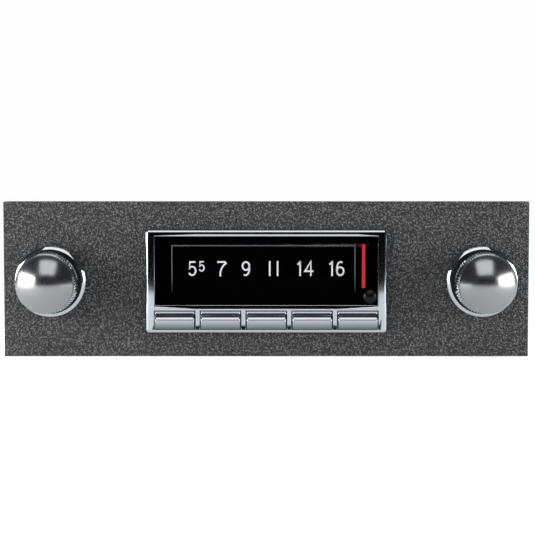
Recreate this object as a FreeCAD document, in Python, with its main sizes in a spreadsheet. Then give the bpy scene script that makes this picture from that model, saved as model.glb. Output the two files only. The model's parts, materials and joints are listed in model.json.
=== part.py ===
import FreeCAD, Part
import math
import os

import Sketcher
from FreeCAD import Placement, Rotation, Vector

# Two-shaft car radio in its fascia panel. The front faces -Y, +X is to the right and +Z is up. The origin is
# on the surface that the radio stands on, under the middle of its box. Every length is in millimetres.

# The driving dimensions, each with its value.
DRIVING = {
    # fascia panel
    "panel_width": 220.0,
    "panel_height": 65.0,
    "panel_sheet": 2.0,
    "panel_return": 12.0,
    "return_wall": 1.5,
    "radio_drop": 0.8,
    "stud_radius": 2.0,
    "stud_length": 14.0,
    "stud_inset": 10.0,
    "stud_wall_gap": 1.25,
    # bezel, lens and dial
    "bezel_width": 101.2,
    "bezel_height": 43.5,
    "bezel_proud": 3.0,
    "collar_wall": 0.8,
    "collar_depth": 8.0,
    "collar_margin": 0.9,
    "cutout_gap": 0.25,
    "lens_width": 93.2,
    "lens_top": 2.9,
    "lens_tall": 28.8,
    "lens_lip": 1.1,
    "lens_sheet": 2.0,
    "lens_seat": 1.5,
    "dial_gap": 2.7,
    "dial_sheet": 1.0,
    "jewel_radius": 2.4,
    "jewel_inset": 3.0,
    # pushbuttons
    "button_count": 5.0,
    "button_pitch": 19.15,
    "window_width": 17.2,
    "window_tall": 7.8,
    "window_border": 1.65,
    "button_gap": 0.3,
    "button_proud": 2.2,
    "button_depth": 6.0,
    "button_travel": 6.8,
    "slide_width": 6.0,
    "slide_tall": 3.0,
    "slide_length": 70.0,
    "slide_gap": 0.15,
    # controls
    "shaft_spacing": 180.0,
    "shaft_radius": 3.0,
    "sleeve_radius": 4.0,
    "running_gap": 0.05,
    "bushing_radius": 5.25,
    "ring_radius": 14.7,
    "ring_wall": 1.5,
    "ring_depth": 5.0,
    "ring_gap": 0.6,
    "knob_radius": 12.0,
    "knob_crown": 5.8,
    "skirt_radius": 12.7,
    "skirt_depth": 5.6,
    "knob_wall": 1.6,
    "knob_barrel": 7.5,
    "control_radius": 10.0,
    # chassis
    "chassis_width": 204.0,
    "chassis_height": 50.0,
    "chassis_depth": 118.0,
    "chassis_sheet": 1.2,
    "flange_width": 6.8,
    "cover_sheet": 1.0,
    "foot_reach": 18.0,
    # tuner
    "tuner_clearance": 8.0,
    "tuner_front": 12.0,
    "tuner_depth": 44.0,
    "tuner_sheet": 1.2,
    "gear_module": 0.6,
    "gear_backlash": 0.08,
    "pinion_teeth": 15.0,
    "drive_teeth": 60.0,
    "small_teeth": 30.0,
    "idler_teeth": 20.0,
    "pointer_teeth": 46.0,
    "core_teeth": 16.0,
    "arbor_radius": 1.5,
    "pointer_rest": 40.9,
    "pointer_travel": 74.0,
    "pointer_width": 1.4,
    "pointer_tall": 18.4,
    "core_radius": 2.4,
    "core_length": 34.0,
    # rear
    "sink_width": 60.0,
    "sink_height": 40.0,
    "sink_reach": 15.0,
    "screw_radius": 1.25,
}


class Size(float):
    """A length that remembers the sheet expression it comes from."""

    def __new__(cls, number, text):
        self = float.__new__(cls, number)
        self.text = text
        return self

    def __add__(self, other):
        return Size(float(self) + float(other), f"({self.text} + {text_of(other)})")

    def __radd__(self, other):
        return Size(float(other) + float(self), f"({text_of(other)} + {self.text})")

    def __sub__(self, other):
        return Size(float(self) - float(other), f"({self.text} - {text_of(other)})")

    def __rsub__(self, other):
        return Size(float(other) - float(self), f"({text_of(other)} - {self.text})")

    def __mul__(self, other):
        return Size(float(self) * float(other), f"({self.text} * {text_of(other)})")

    def __rmul__(self, other):
        return self * other

    def __truediv__(self, other):
        return Size(float(self) / float(other), f"({self.text} / {text_of(other)})")

    def __neg__(self):
        return Size(-float(self), f"(0 - {self.text})")


def text_of(value):
    """The expression of a size, or a plain number in brackets."""
    if isinstance(value, Size):
        return value.text
    return f"({float(value):.6f})"


doc = FreeCAD.newDocument("CarRadio")
sheet = doc.addObject("Spreadsheet::Sheet", "Sizes")


class Sheet:
    """Gives each cell of the sheet as a Size, by its alias."""

    rows = 0

    def put(self, alias, number):
        self.rows += 1
        sheet.set(f"A{self.rows}", alias)
        sheet.set(f"B{self.rows}", f"{float(number):.6f}")
        sheet.setAlias(f"B{self.rows}", alias)
        setattr(self, alias, Size(number, f"Sizes.{alias}"))


dim = Sheet()
for alias, number in DRIVING.items():
    dim.put(alias, number)

# The stack of the controls, as depths behind the panel's face: negative is in front of it.
NUT_THICK = 2.2
WASHER_THICK = 0.8
FOOT_HALF = 28.0
FOOT_SLOT_X = 18.0
FIN_THICK = 1.6
CAN_SIDE = 12.0
BUSHING_FRONT = -(NUT_THICK + WASHER_THICK + 0.1)
knob_back = dim.ring_gap + dim.ring_depth + 1.2
knob_front = knob_back + dim.skirt_depth + dim.knob_barrel + dim.knob_crown
chassis_back = dim.collar_depth + dim.chassis_depth
rear_reach = chassis_back + max(dim.foot_reach, dim.sink_reach)
dim.put("face_y", (float(knob_front) - float(rear_reach)) / 2)
dim.put("axis_z", float(dim.panel_height) / 2 - float(dim.radio_drop))
doc.recompute()


def behind(depth):
    """The y of a plane this far behind the panel's face."""
    return dim.face_y + depth


def above(height):
    """The z of a plane this far above the line through the two knobs."""
    return dim.axis_z + height


# ---- helpers -------------------------------------------------------------------------------------------------------

PIECES = []
ALONG = {
    "x": Rotation(Vector(0, 1, 0), 90),
    "y": Rotation(Vector(1, 0, 0), -90),
    "z": Rotation(),
}


def keep(node, solid):
    """Give a finished sub-part the name of its node."""
    solid.Label = node
    PIECES.append(solid)
    return solid


def bind(item, field, value):
    item.setExpression(field, text_of(value))


def box(x, y, z):
    """A block between two planes along each axis."""
    solid = doc.addObject("Part::Box", "block")
    for side, axis, span in (("Length", "x", x), ("Width", "y", y), ("Height", "z", z)):
        low, high = span
        bind(solid, side, high - low)
        bind(solid, f"Placement.Base.{axis}", low)
    return solid


def rod(axis, radius, span, x=None, y=None, z=None):
    """A cylinder along one axis; the other two axes give its centre line."""
    solid = doc.addObject("Part::Cylinder", "rod")
    solid.Placement = Placement(Vector(), ALONG[axis])
    low, high = span
    bind(solid, "Radius", radius)
    bind(solid, "Height", high - low)
    start = {"x": x, "y": y, "z": z}
    start[axis] = low
    for name, value in start.items():
        bind(solid, f"Placement.Base.{name}", value)
    return solid


def joined(*solids):
    fuse = doc.addObject("Part::MultiFuse", "joined")
    fuse.Shapes = list(solids)
    fuse.Refine = True
    return fuse


def group(*solids):
    compound = doc.addObject("Part::Compound", "group")
    compound.Links = list(solids)
    return compound


def less(base, *tools):
    """The base with every tool cut out of it."""
    result = doc.addObject("Part::Cut", "less")
    result.Base = base
    result.Tool = group(*tools) if len(tools) > 1 else tools[0]
    return result


def tube(axis, outer, inner, span, **centre):
    low, high = span
    return less(rod(axis, outer, span, **centre), rod(axis, inner, (low - 1.0, high + 1.0), **centre))


def origin_plane(body, role):
    return next(item for item in body.Origin.OriginFeatures if item.Role == role)


def arc_edge(start, end, radius):
    """The arc between two corners, counter-clockwise for a radius above 0 and clockwise below it."""
    turn = 1 if radius > 0 else -1
    middle = (start + end) / 2
    chord = end - start
    height = math.sqrt(max(float(radius) ** 2 - (chord.Length / 2) ** 2, 0))
    centre = middle + Vector(-chord.y, chord.x, 0).normalize() * height * turn
    circle = Part.Circle(centre, Vector(0, 0, 1), abs(float(radius)))
    first, last = (start, end) if turn > 0 else (end, start)
    angles = [math.atan2(point.y - centre.y, point.x - centre.x) for point in (first, last)]
    return Part.ArcOfCircle(circle, *angles), turn


def draw(body, role, *outlines, level=0.0):
    """A sketch on an origin plane. An outline is its corners and the radius of each side that is an arc."""
    sketch = body.newObject("Sketcher::SketchObject", "outline")
    sketch.AttachmentSupport = [(origin_plane(body, role), "")]
    sketch.MapMode = "FlatFace"
    sketch.setExpression(".AttachmentOffset.Base.z", text_of(level))
    for corners, bends in outlines:
        points = [Vector(float(across), float(along), 0) for across, along in corners]
        first = sketch.GeometryCount
        ends = []
        for index, start in enumerate(points):
            end = points[(index + 1) % len(points)]
            turn = 1
            if index in bends:
                edge, turn = arc_edge(start, end, bends[index])
            else:
                edge = Part.LineSegment(start, end)
            sketch.addGeometry(edge, False)
            ends.append((1, 2) if turn > 0 else (2, 1))
        for index, corner in enumerate(corners):
            after = (index + 1) % len(corners)
            here = first + index
            sketch.addConstraint(
                Sketcher.Constraint("Coincident", here, ends[index][1], first + after, ends[after][0])
            )
            for kind, value in zip(("DistanceX", "DistanceY"), corner):
                number = sketch.addConstraint(
                    Sketcher.Constraint(kind, -1, 1, here, ends[index][0], float(value))
                )
                sketch.setExpression(f"Constraints[{number}]", text_of(value))
            if index in bends:
                radius = bends[index] if bends[index] > 0 else -bends[index]
                number = sketch.addConstraint(Sketcher.Constraint("Radius", here, float(radius)))
                sketch.setExpression(f"Constraints[{number}]", text_of(radius))
    return sketch


def rectangle(x, z, radius=None):
    """The corners of a rectangle, with round corners if a radius is given."""
    (left, right), (low, high) = x, z
    if radius is None:
        return [(left, low), (right, low), (right, high), (left, high)], {}
    corners = [
        (left + radius, low),
        (right - radius, low),
        (right, low + radius),
        (right, high - radius),
        (right - radius, high),
        (left + radius, high),
        (left, high - radius),
        (left, low + radius),
    ]
    return corners, {1: radius, 3: radius, 5: radius, 7: radius}


def new_body():
    return doc.addObject("PartDesign::Body", "body")


def plate(body, y, *outlines):
    """Adds material between two depths, from outlines in X and Z."""
    front, back = y
    pad = body.newObject("PartDesign::Pad", "pad")
    pad.Profile = draw(body, "XZ_Plane", *outlines, level=-back)
    bind(pad, "Length", back - front)
    return pad


def pocket(body, y, *outlines):
    """Takes material away between two depths, from outlines in X and Z."""
    front, back = y
    hole = body.newObject("PartDesign::Pocket", "pocket")
    hole.Profile = draw(body, "XZ_Plane", *outlines, level=-front)
    bind(hole, "Length", back - front)
    return hole


def turned(x, corners, bends=None):
    """A turned piece about the axis of a control, from its radii and its depths."""
    body = new_body()
    turn = body.newObject("PartDesign::Revolution", "turned")
    outline = [(radius, behind(depth)) for radius, depth in corners]
    turn.Profile = draw(body, "XY_Plane", (outline, bends or {}))
    turn.ReferenceAxis = (turn.Profile[0], ["V_Axis"])
    turn.Angle = 360
    bind(body, "Placement.Base.x", x)
    bind(body, "Placement.Base.z", dim.axis_z)
    return body


def extruded(corners, y):
    """A solid from corners in X and Z between two depths."""
    front, back = float(y[0]), float(y[1])
    wire = Part.makePolygon([Vector(x, front, z) for x, z in corners + corners[:1]])
    return Part.Face(wire).extrude(Vector(0, back - front, 0))


def feature(shape):
    item = doc.addObject("Part::Feature", "shape")
    item.Shape = shape
    return item


# ---- places --------------------------------------------------------------------------------------------------------

left_x = -dim.shaft_spacing / 2
right_x = dim.shaft_spacing / 2
half_bezel = dim.bezel_width / 2
bezel_low = -dim.bezel_height / 2
bezel_high = dim.bezel_height / 2
lens_high = bezel_high - dim.lens_top
lens_low = lens_high - dim.lens_tall
window_low = bezel_low + dim.window_border
window_high = window_low + dim.window_tall
collar_half = half_bezel - dim.collar_margin - dim.collar_wall
collar_low = window_low - 0.1
collar_high = -collar_low
dial_front = dim.lens_sheet - dim.lens_seat + dim.dial_gap
dial_back = dial_front + dim.dial_sheet
slot_low = lens_high - 4.8
slot_high = lens_high - 3.3
pointer_low = lens_low + 6.9
chassis_front = dim.collar_depth
chassis_inside = chassis_front + dim.chassis_sheet
half_chassis = dim.chassis_width / 2
chassis_high = dim.chassis_height / 2
plate_front = chassis_front + dim.tuner_front
plate_back = plate_front + dim.tuner_sheet
rear_plate = plate_front + dim.tuner_depth
slide_high = window_low + 4.5
slide_low = slide_high - dim.slide_tall
opening_half = dim.pointer_rest + 2.1
opening_high = collar_high - 1.2
opening_low = slide_low - 0.4

# Gears: pitch radii and centres, from the tuning shaft leftwards.
pinion_pitch = dim.gear_module * dim.pinion_teeth / 2
drive_pitch = dim.gear_module * dim.drive_teeth / 2
small_pitch = dim.gear_module * dim.small_teeth / 2
idler_pitch = dim.gear_module * dim.idler_teeth / 2
pointer_pitch = dim.gear_module * dim.pointer_teeth / 2
core_pitch = dim.gear_module * dim.core_teeth / 2
drive_x = right_x - pinion_pitch - drive_pitch
idler_x = [drive_x - small_pitch - idler_pitch]
idler_x.append(idler_x[0] - idler_pitch * 2)
pointer_x = idler_x[1] - idler_pitch - pointer_pitch
core_travel = dim.pointer_travel * core_pitch / pointer_pitch
small_y = (plate_back + 2.3, plate_back + 5.8)
drive_y = (plate_back + 8.3, plate_back + 10.8)
core_y = (plate_back + 12.8, plate_back + 15.8)
ADDENDUM = 0.8
DEDENDUM = 1.05
PRESSURE = math.radians(20)


def button_x(number):
    return dim.button_pitch * (number - (dim.button_count - 1) / 2)


# ---- fascia panel --------------------------------------------------------------------------------------------------


def dash_panel():
    """The panel, its returns, the cut-out, the bushing holes and four cast studs behind it."""
    half = dim.panel_width / 2
    body = new_body()
    plate(body, (behind(0.0), behind(dim.panel_return)), rectangle((-half, half), (0.0, dim.panel_height)))
    inner = half - dim.return_wall
    span = (dim.return_wall, dim.panel_height - dim.return_wall)
    pocket(body, (behind(dim.panel_sheet), behind(dim.panel_return)), rectangle((-inner, inner), span))
    wide = half_bezel - dim.collar_margin + dim.cutout_gap
    tall = collar_high + dim.collar_wall + dim.cutout_gap
    pocket(
        body,
        (behind(0.0), behind(dim.panel_sheet)),
        rectangle((-wide, wide), (above(-tall), above(tall))),
    )
    holes = [
        rod("y", dim.bushing_radius + 0.35, (behind(-1.0), behind(dim.panel_sheet + 1.0)), x=x, z=dim.axis_z)
        for x in (left_x, right_x)
    ]
    post_x = half - dim.return_wall - dim.stud_wall_gap - dim.stud_radius
    posts = [
        rod(
            "y",
            dim.stud_radius,
            (behind(dim.panel_sheet / 2), behind(dim.panel_sheet + dim.stud_length)),
            x=side * post_x,
            z=height,
        )
        for side in (-1, 1)
        for height in (dim.stud_inset, dim.panel_height - dim.stud_inset)
    ]
    keep("dash_panel", joined(less(body, *holes), *posts))


# ---- bezel, lens and dial ------------------------------------------------------------------------------------------


def bezel():
    """Die-cast nosepiece: a face with the lens opening and five windows, and a collar through the panel."""
    body = new_body()
    face = behind(-dim.bezel_proud)
    outer = rectangle((-half_bezel, half_bezel), (above(bezel_low), above(bezel_high)), Size(1.4, "1.4"))
    half_lens = dim.lens_width / 2
    lens_hole = rectangle((-half_lens, half_lens), (above(lens_low), above(lens_high)), Size(0.9, "0.9"))
    windows = []
    for number in range(int(dim.button_count)):
        centre = button_x(number)
        across = (centre - dim.window_width / 2, centre + dim.window_width / 2)
        windows.append(rectangle(across, (above(window_low), above(window_high))))
    plate(body, (face, behind(0.0)), outer, lens_hole, *windows)
    outside = collar_half + dim.collar_wall
    outside_high = collar_high + dim.collar_wall
    plate(
        body,
        (behind(0.0), behind(dim.collar_depth)),
        rectangle((-outside, outside), (above(-outside_high), above(outside_high))),
        rectangle((-collar_half, collar_half), (above(collar_low), above(collar_high))),
    )
    seat = half_lens + dim.lens_lip
    pocket(
        body,
        (behind(-dim.lens_seat), behind(0.0)),
        rectangle((-seat, seat), (above(lens_low - 0.8), above(lens_high + 0.2))),
    )
    shelf = box(
        (-collar_half, collar_half),
        (behind(dim.lens_sheet - dim.lens_seat), behind(dial_front)),
        (above(window_high), above(lens_low - 0.9)),
    )
    lugs = [
        less(
            box(x, (behind(dial_back), behind(dim.collar_depth)), (above(-4.0), above(4.0))),
            rod("y", 1.0, (behind(dial_back), behind(dim.collar_depth + 1.0)), x=middle, z=dim.axis_z),
        )
        for x, middle in (
            ((-collar_half, -collar_half + 4.0), -collar_half + 2.0),
            ((collar_half - 4.0, collar_half), collar_half - 2.0),
        )
    ]
    keep("bezel", joined(body, shelf, *lugs))


def lens():
    """Clear cover in its seat, with the hole for the jewel."""
    body = new_body()
    half = dim.lens_width / 2 + dim.lens_lip
    depth = (behind(-dim.lens_seat), behind(dim.lens_sheet - dim.lens_seat))
    plate(body, depth, rectangle((-half, half), (above(lens_low - 0.8), above(lens_high + 0.2))))
    hole = rod("y", dim.jewel_radius, (depth[0] - 1.0, depth[1] + 1.0), x=jewel_x(), z=above(jewel_height()))
    keep("lens", less(body, hole))


def jewel_x():
    return dim.lens_width / 2 - dim.jewel_inset


def jewel_height():
    return lens_low + dim.jewel_inset + 0.4


def pilot_jewel():
    """Small round jewel held in the lens, domed in front and flanged behind."""
    front = -dim.lens_seat - 0.5
    back = dim.lens_sheet - dim.lens_seat
    corners = [
        (0.0, front - 0.4),
        (dim.jewel_radius - 0.5, front),
        (dim.jewel_radius, front + 0.4),
        (dim.jewel_radius, back),
        (dim.jewel_radius + 0.5, back),
        (dim.jewel_radius + 0.5, back + 0.8),
        (0.0, back + 0.8),
    ]
    body = turned(jewel_x(), corners)
    bind(body, "Placement.Base.z", above(jewel_height()))
    keep("pilot_jewel", body)


def dial_plate():
    """Black plate behind the pointer, with the slot that its tang passes through."""
    body = new_body()
    slot = (dim.pointer_rest - dim.pointer_travel - 2.4, dim.pointer_rest + 2.4)
    plate(
        body,
        (behind(dial_front), behind(dial_back)),
        rectangle((-collar_half, collar_half), (above(lens_low - 0.9), above(collar_high))),
        rectangle(slot, (above(slot_low), above(slot_high))),
    )
    keep("dial_plate", body)


# ---- pushbuttons ---------------------------------------------------------------------------------------------------


def pushbutton(number):
    """A cap with a sloped brow over its crown and a flat front below it, and bevelled ends."""
    body = new_body()
    half = dim.window_width / 2 - dim.button_gap
    top = window_high - dim.button_gap
    foot = window_low + dim.button_gap
    face = -dim.bezel_proud
    crown = face - dim.button_proud
    corners = [
        (behind(crown + dim.button_depth), above(foot)),
        (behind(crown + dim.button_depth), above(top)),
        (behind(face + 0.6), above(top)),
        (behind(crown + 0.4), above(foot + 4.2)),
        (behind(crown + 0.4), above(foot + 3.0)),
        (behind(crown + 1.1), above(foot)),
    ]
    pad = body.newObject("PartDesign::Pad", "cap")
    arcs = {2: Size(-9.0, "(-9.0)"), 3: Size(0.9, "0.9")}
    pad.Profile = draw(body, "YZ_Plane", (corners, arcs), level=-half)
    bind(pad, "Length", half * 2)
    bind(body, "Placement.Base.x", button_x(number))
    keep(f"button_{number + 1}", body)


def preset_slide(number):
    """Flat bar behind a button, with the cam that sets the station and the lug for its return spring."""
    centre = button_x(number)
    half = dim.slide_width / 2
    start = dim.button_depth - dim.bezel_proud - dim.button_proud
    bar = box((centre - half, centre + half), (behind(start), behind(dim.slide_length)), slide_heights())
    cam_y = rear_plate - 20.0
    cam = box(
        (centre - half, centre + half),
        (behind(cam_y), behind(cam_y + 6.0)),
        (above(slide_high), above(slide_high + 2.4)),
    )
    lug = box(
        (centre - 1.5, centre + 1.5),
        (behind(spring_end()), behind(spring_end() + dim.tuner_sheet)),
        (above(slide_low - 4.0), above(slide_low)),
    )
    keep(f"preset_slide_{number + 1}", joined(bar, cam, lug))


def slide_heights():
    return above(slide_low), above(slide_high)


def spring_end():
    return plate_back + 18.8


def return_springs():
    """Extension springs that pull each slide forward, from the tuner's front plate to the slide's lug."""
    turns = 10
    wire = 0.3
    radius = 1.5
    start = float(behind(plate_back)) + wire
    length = float(spring_end() - plate_back) - 2 * wire
    helix = Part.makeHelix(length / turns, length, radius)
    section = Part.Wire(Part.makeCircle(wire, Vector(radius, 0, 0), Vector(0, 1, 0)))
    coil = Part.Wire(helix.Edges).makePipeShell([section], True, True)
    coil.rotate(Vector(), Vector(1, 0, 0), -90)
    coils = []
    for number in range(int(dim.button_count)):
        spot = Vector(float(button_x(number)), start, float(above(slide_low - 2.2)))
        coils.append(coil.translated(spot))
    keep("return_springs", feature(Part.makeCompound(coils)))


# ---- controls ------------------------------------------------------------------------------------------------------


def domed_knob(node, x):
    """Hollow knob: a milled skirt, a barrel and a domed end, with a hub for the shaft."""
    back = -knob_back
    skirt = back - dim.skirt_depth
    dome = skirt - dim.knob_barrel
    hollow = dim.knob_radius - dim.knob_wall
    floor = back - 4.0
    hub = dim.shaft_radius + 3.0
    corners = [
        (dim.shaft_radius, back - 1.0),
        (hub, back - 1.0),
        (hub, floor),
        (hollow, floor),
        (hollow, back),
        (dim.skirt_radius, back),
        (dim.skirt_radius, skirt + 0.4),
        (dim.knob_radius, skirt),
        (dim.knob_radius, dome),
        (0.0, dome - dim.knob_crown),
        (0.0, dome),
        (dim.shaft_radius, dome),
    ]
    squares = dim.knob_radius * dim.knob_radius + dim.knob_crown * dim.knob_crown
    crown_radius = squares / (2 * dim.knob_crown)
    keep(node, turned(x, corners, {8: -crown_radius}))


def control_ring(node, x):
    """Chrome ring behind a knob: a bevelled rim, a recessed web and a hub on the hollow shaft."""
    back = -dim.ring_gap
    front = back - dim.ring_depth
    inner = dim.ring_radius - dim.ring_wall
    web = front + 1.0
    web_back = web + 1.2
    hub = dim.sleeve_radius + 2.5
    corners = [
        (dim.sleeve_radius, web_back),
        (inner, web_back),
        (inner, back),
        (dim.ring_radius, back),
        (dim.ring_radius, front + 0.6),
        (dim.ring_radius - 0.5, front),
        (inner + 0.4, front),
        (inner, front + 0.4),
        (inner, web),
        (hub, web),
        (hub, front - 0.6),
        (dim.sleeve_radius, front - 0.6),
    ]
    keep(node, turned(x, corners))


def controls():
    """Both concentric controls: bushings, nuts, washers, hollow and inner shafts, and the cans behind."""
    flange = chassis_inside + 1.5
    sleeve_front = -(dim.ring_gap + dim.ring_depth + 0.4)
    sleeve_back = flange + 1.8
    bore = dim.sleeve_radius + dim.running_gap
    thread = (behind(BUSHING_FRONT), behind(flange))
    shoulder = (behind(chassis_inside), behind(flange))
    bushings = [
        joined(
            tube("y", dim.bushing_radius, bore, thread, x=x, z=dim.axis_z),
            tube("y", dim.bushing_radius + 1.8, bore, shoulder, x=x, z=dim.axis_z),
        )
        for x in (left_x, right_x)
    ]
    keep("bushings", group(*bushings))
    starts = (-WASHER_THICK - NUT_THICK, dim.panel_sheet, dim.collar_depth - NUT_THICK)
    nuts = [hex_nut(x, start) for x in (left_x, right_x) for start in starts]
    washer_y = (behind(-WASHER_THICK), dim.face_y)
    washer_radius = dim.bushing_radius + 3.1
    washers = [
        tube("y", washer_radius, dim.bushing_radius, washer_y, x=x, z=dim.axis_z) for x in (left_x, right_x)
    ]
    keep("bushing_nuts", group(*nuts, *washers))
    inner_bore = dim.shaft_radius + dim.running_gap
    for node, x in (("tone_sleeve", left_x), ("fader_sleeve", right_x)):
        span = (behind(sleeve_front), behind(sleeve_back))
        keep(node, tube("y", dim.sleeve_radius, inner_bore, span, x=x, z=dim.axis_z))
    can_back = flange + 7.3
    for node, x in (("tone_control", left_x), ("fader_control", right_x)):
        can = tube("y", dim.control_radius, inner_bore, (behind(flange), behind(can_back)), x=x, z=dim.axis_z)
        seat = rod("y", bore, (behind(flange - 1.0), behind(sleeve_back + 0.4)), x=x, z=dim.axis_z)
        keep(node, less(can, seat))
    shaft_front = -(knob_back + dim.skirt_depth + dim.knob_barrel)
    volume_end = can_back + 7.0
    volume_front = can_back + 0.4
    switch_front = can_back + 9.0
    switch_back = switch_front + 7.0
    shaft_y = (behind(shaft_front), behind(volume_end))
    keep("volume_shaft", rod("y", dim.shaft_radius, shaft_y, x=left_x, z=dim.axis_z))
    volume_y = (behind(volume_front), behind(switch_front))
    volume = rod("y", dim.control_radius, volume_y, x=left_x, z=dim.axis_z)
    switch_y = (behind(switch_front), behind(switch_back))
    power = rod("y", dim.control_radius - 1.5, switch_y, x=left_x, z=dim.axis_z)
    seat = rod("y", inner_bore, (behind(can_back), behind(volume_end + 0.5)), x=left_x, z=dim.axis_z)
    keep("volume_control", less(joined(volume, power), seat))
    tuning_y = (behind(shaft_front), behind(drive_y[1] + 2.0))
    shaft = rod("y", dim.shaft_radius, tuning_y, x=right_x, z=dim.axis_z)
    pinion = gear(dim.pinion_teeth, math.pi, right_x, (drive_y[0] - 1.0, drive_y[1] + 1.0))
    keep("tuning_shaft", joined(shaft, feature(pinion)))


def hex_nut(x, start):
    """A nut of 14 mm across its flats on a bushing."""
    corner = (dim.bushing_radius + 1.75) / math.cos(math.pi / 6)
    nut = doc.addObject("Part::Prism", "nut")
    nut.Polygon = 6
    nut.Placement = Placement(Vector(), ALONG["y"])
    bind(nut, "Circumradius", corner)
    nut.Height = NUT_THICK
    bind(nut, "Placement.Base.x", x)
    bind(nut, "Placement.Base.y", behind(start))
    bind(nut, "Placement.Base.z", dim.axis_z)
    span = (behind(start - 1.0), behind(start + NUT_THICK + 1.0))
    return less(nut, rod("y", dim.bushing_radius, span, x=x, z=dim.axis_z))


# ---- tuner ---------------------------------------------------------------------------------------------------------


def gear_corners(teeth, phase):
    """Corners of a spur gear about (0, 0): straight root, three points up each involute flank, straight tip."""
    pitch = float(dim.gear_module) * float(teeth) / 2
    base = pitch * math.cos(PRESSURE)
    tip = pitch + ADDENDUM * float(dim.gear_module)
    root = pitch - DEDENDUM * float(dim.gear_module)
    half = math.pi / 2 / float(teeth) - float(dim.gear_backlash) / pitch / 2
    flank = []
    for radius in (root, max(base, root + 0.05), (pitch + base) / 2, pitch, tip):
        angle = math.acos(min(base / radius, 1.0))
        spread = math.tan(PRESSURE) - PRESSURE - (math.tan(angle) - angle)
        flank.append((radius, half + spread))
    corners = []
    for tooth in range(int(teeth)):
        middle = phase + 2 * math.pi * tooth / float(teeth)
        for radius, angle in flank:
            corners.append((radius * math.cos(middle - angle), radius * math.sin(middle - angle)))
        for radius, angle in reversed(flank):
            corners.append((radius * math.cos(middle + angle), radius * math.sin(middle + angle)))
    return corners


def gear(teeth, phase, x, y):
    """A gear centred on the line of the shafts, between two depths."""
    corners = [(float(x) + across, float(dim.axis_z) + up) for across, up in gear_corners(teeth, phase)]
    return extruded(corners, (behind(y[0]), behind(y[1])))


def rack(x, gap_x, pitch_height, top, y):
    """A rack with its teeth down. One gap between teeth is centred on gap_x."""
    module = float(dim.gear_module)
    step = math.pi * module
    pitch_z = float(above(pitch_height))
    tip = pitch_z - ADDENDUM * module
    root = pitch_z + DEDENDUM * module
    half = step / 4 - float(dim.gear_backlash) / 2
    low = half - ADDENDUM * module * math.tan(PRESSURE)
    high = half + DEDENDUM * module * math.tan(PRESSURE)
    left, right = float(x[0]), float(x[1])
    first = math.ceil((left + high - float(gap_x) - step / 2) / step)
    corners = [(left, float(above(top))), (left, root)]
    centre = float(gap_x) + step / 2 + first * step
    while centre + high < right:
        corners += [(centre - high, root), (centre - low, tip), (centre + low, tip), (centre + high, root)]
        centre += step
    corners += [(right, root), (right, float(above(top)))]
    return extruded(corners, (behind(y[0]), behind(y[1])))


def bored(shape, radius, x):
    """A gear with its bore."""
    start = float(behind(plate_front))
    axis = Part.makeCylinder(float(radius), 80.0, Vector(float(x), start, float(dim.axis_z)), Vector(0, 1, 0))
    return shape.cut(axis)


def gears():
    """The train from the tuning shaft's pinion to the pointer and the cores."""
    half_turn = math.pi
    loose = dim.arbor_radius + dim.running_gap
    wheel = gear(dim.drive_teeth, half_turn / float(dim.drive_teeth), drive_x, drive_y)
    small = gear(dim.small_teeth, 0.0, drive_x, (small_y[0], drive_y[0]))
    keep("drive_gear", feature(bored(wheel.fuse(small), loose, drive_x)))
    for number, phase in enumerate((half_turn / float(dim.idler_teeth), 0.0)):
        wheel = gear(dim.idler_teeth, phase, idler_x[number], small_y)
        keep(f"idler_gear_{number + 1}", feature(bored(wheel, loose, idler_x[number])))
    wheel = gear(dim.pointer_teeth, half_turn / float(dim.pointer_teeth), pointer_x, small_y)
    centre = Vector(float(pointer_x), float(behind(small_y[0])), float(dim.axis_z))
    hub = Part.makeCylinder(float(core_pitch) - 1.0, float(core_y[0] - small_y[0]), centre, Vector(0, 1, 0))
    small = gear(dim.core_teeth, half_turn / 2, pointer_x, core_y)
    keep("pointer_gear", feature(bored(wheel.fuse([hub, small]), loose, pointer_x)))


def tuner_rods():
    """Fixed pins that the gears turn on, and the rod that guides the core carriage."""
    long_pins = [
        rod("y", dim.arbor_radius, (behind(plate_back), behind(rear_plate)), x=x, z=dim.axis_z)
        for x in (drive_x, pointer_x)
    ]
    short_y = (behind(plate_back), behind(small_y[1] + 0.6))
    short_pins = [rod("y", dim.arbor_radius, short_y, x=x, z=dim.axis_z) for x in idler_x]
    guide = rod("x", dim.arbor_radius, ear_span(), y=behind(guide_y()), z=above(guide_height()))
    keep("tuner_rods", group(*long_pins, *short_pins, guide))


def pointer():
    """Red needle in front of the dial plate, with the tang that reaches back to its rack."""
    front = dim.lens_sheet - dim.lens_seat + 0.8
    half = dim.pointer_width / 2
    high = pointer_low + dim.pointer_tall
    tang_high = slot_high - 0.2
    needle = box(
        (dim.pointer_rest - half, dim.pointer_rest + half),
        (behind(front), behind(front + 0.8)),
        (above(pointer_low), above(high)),
    )
    tang = box(
        (dim.pointer_rest - half, dim.pointer_rest + half),
        (behind(front), behind(small_y[0])),
        (above(slot_low + 0.2), above(tang_high)),
    )
    keep("pointer", joined(needle, tang))
    right = pointer_x + dim.pointer_travel + 1.5
    bar = rack((pointer_x - 1.5, right), pointer_x, pointer_pitch, rack_top(), small_y)
    keep("pointer_rack", feature(bar))


def rack_top():
    return pointer_pitch + 4.3


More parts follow.
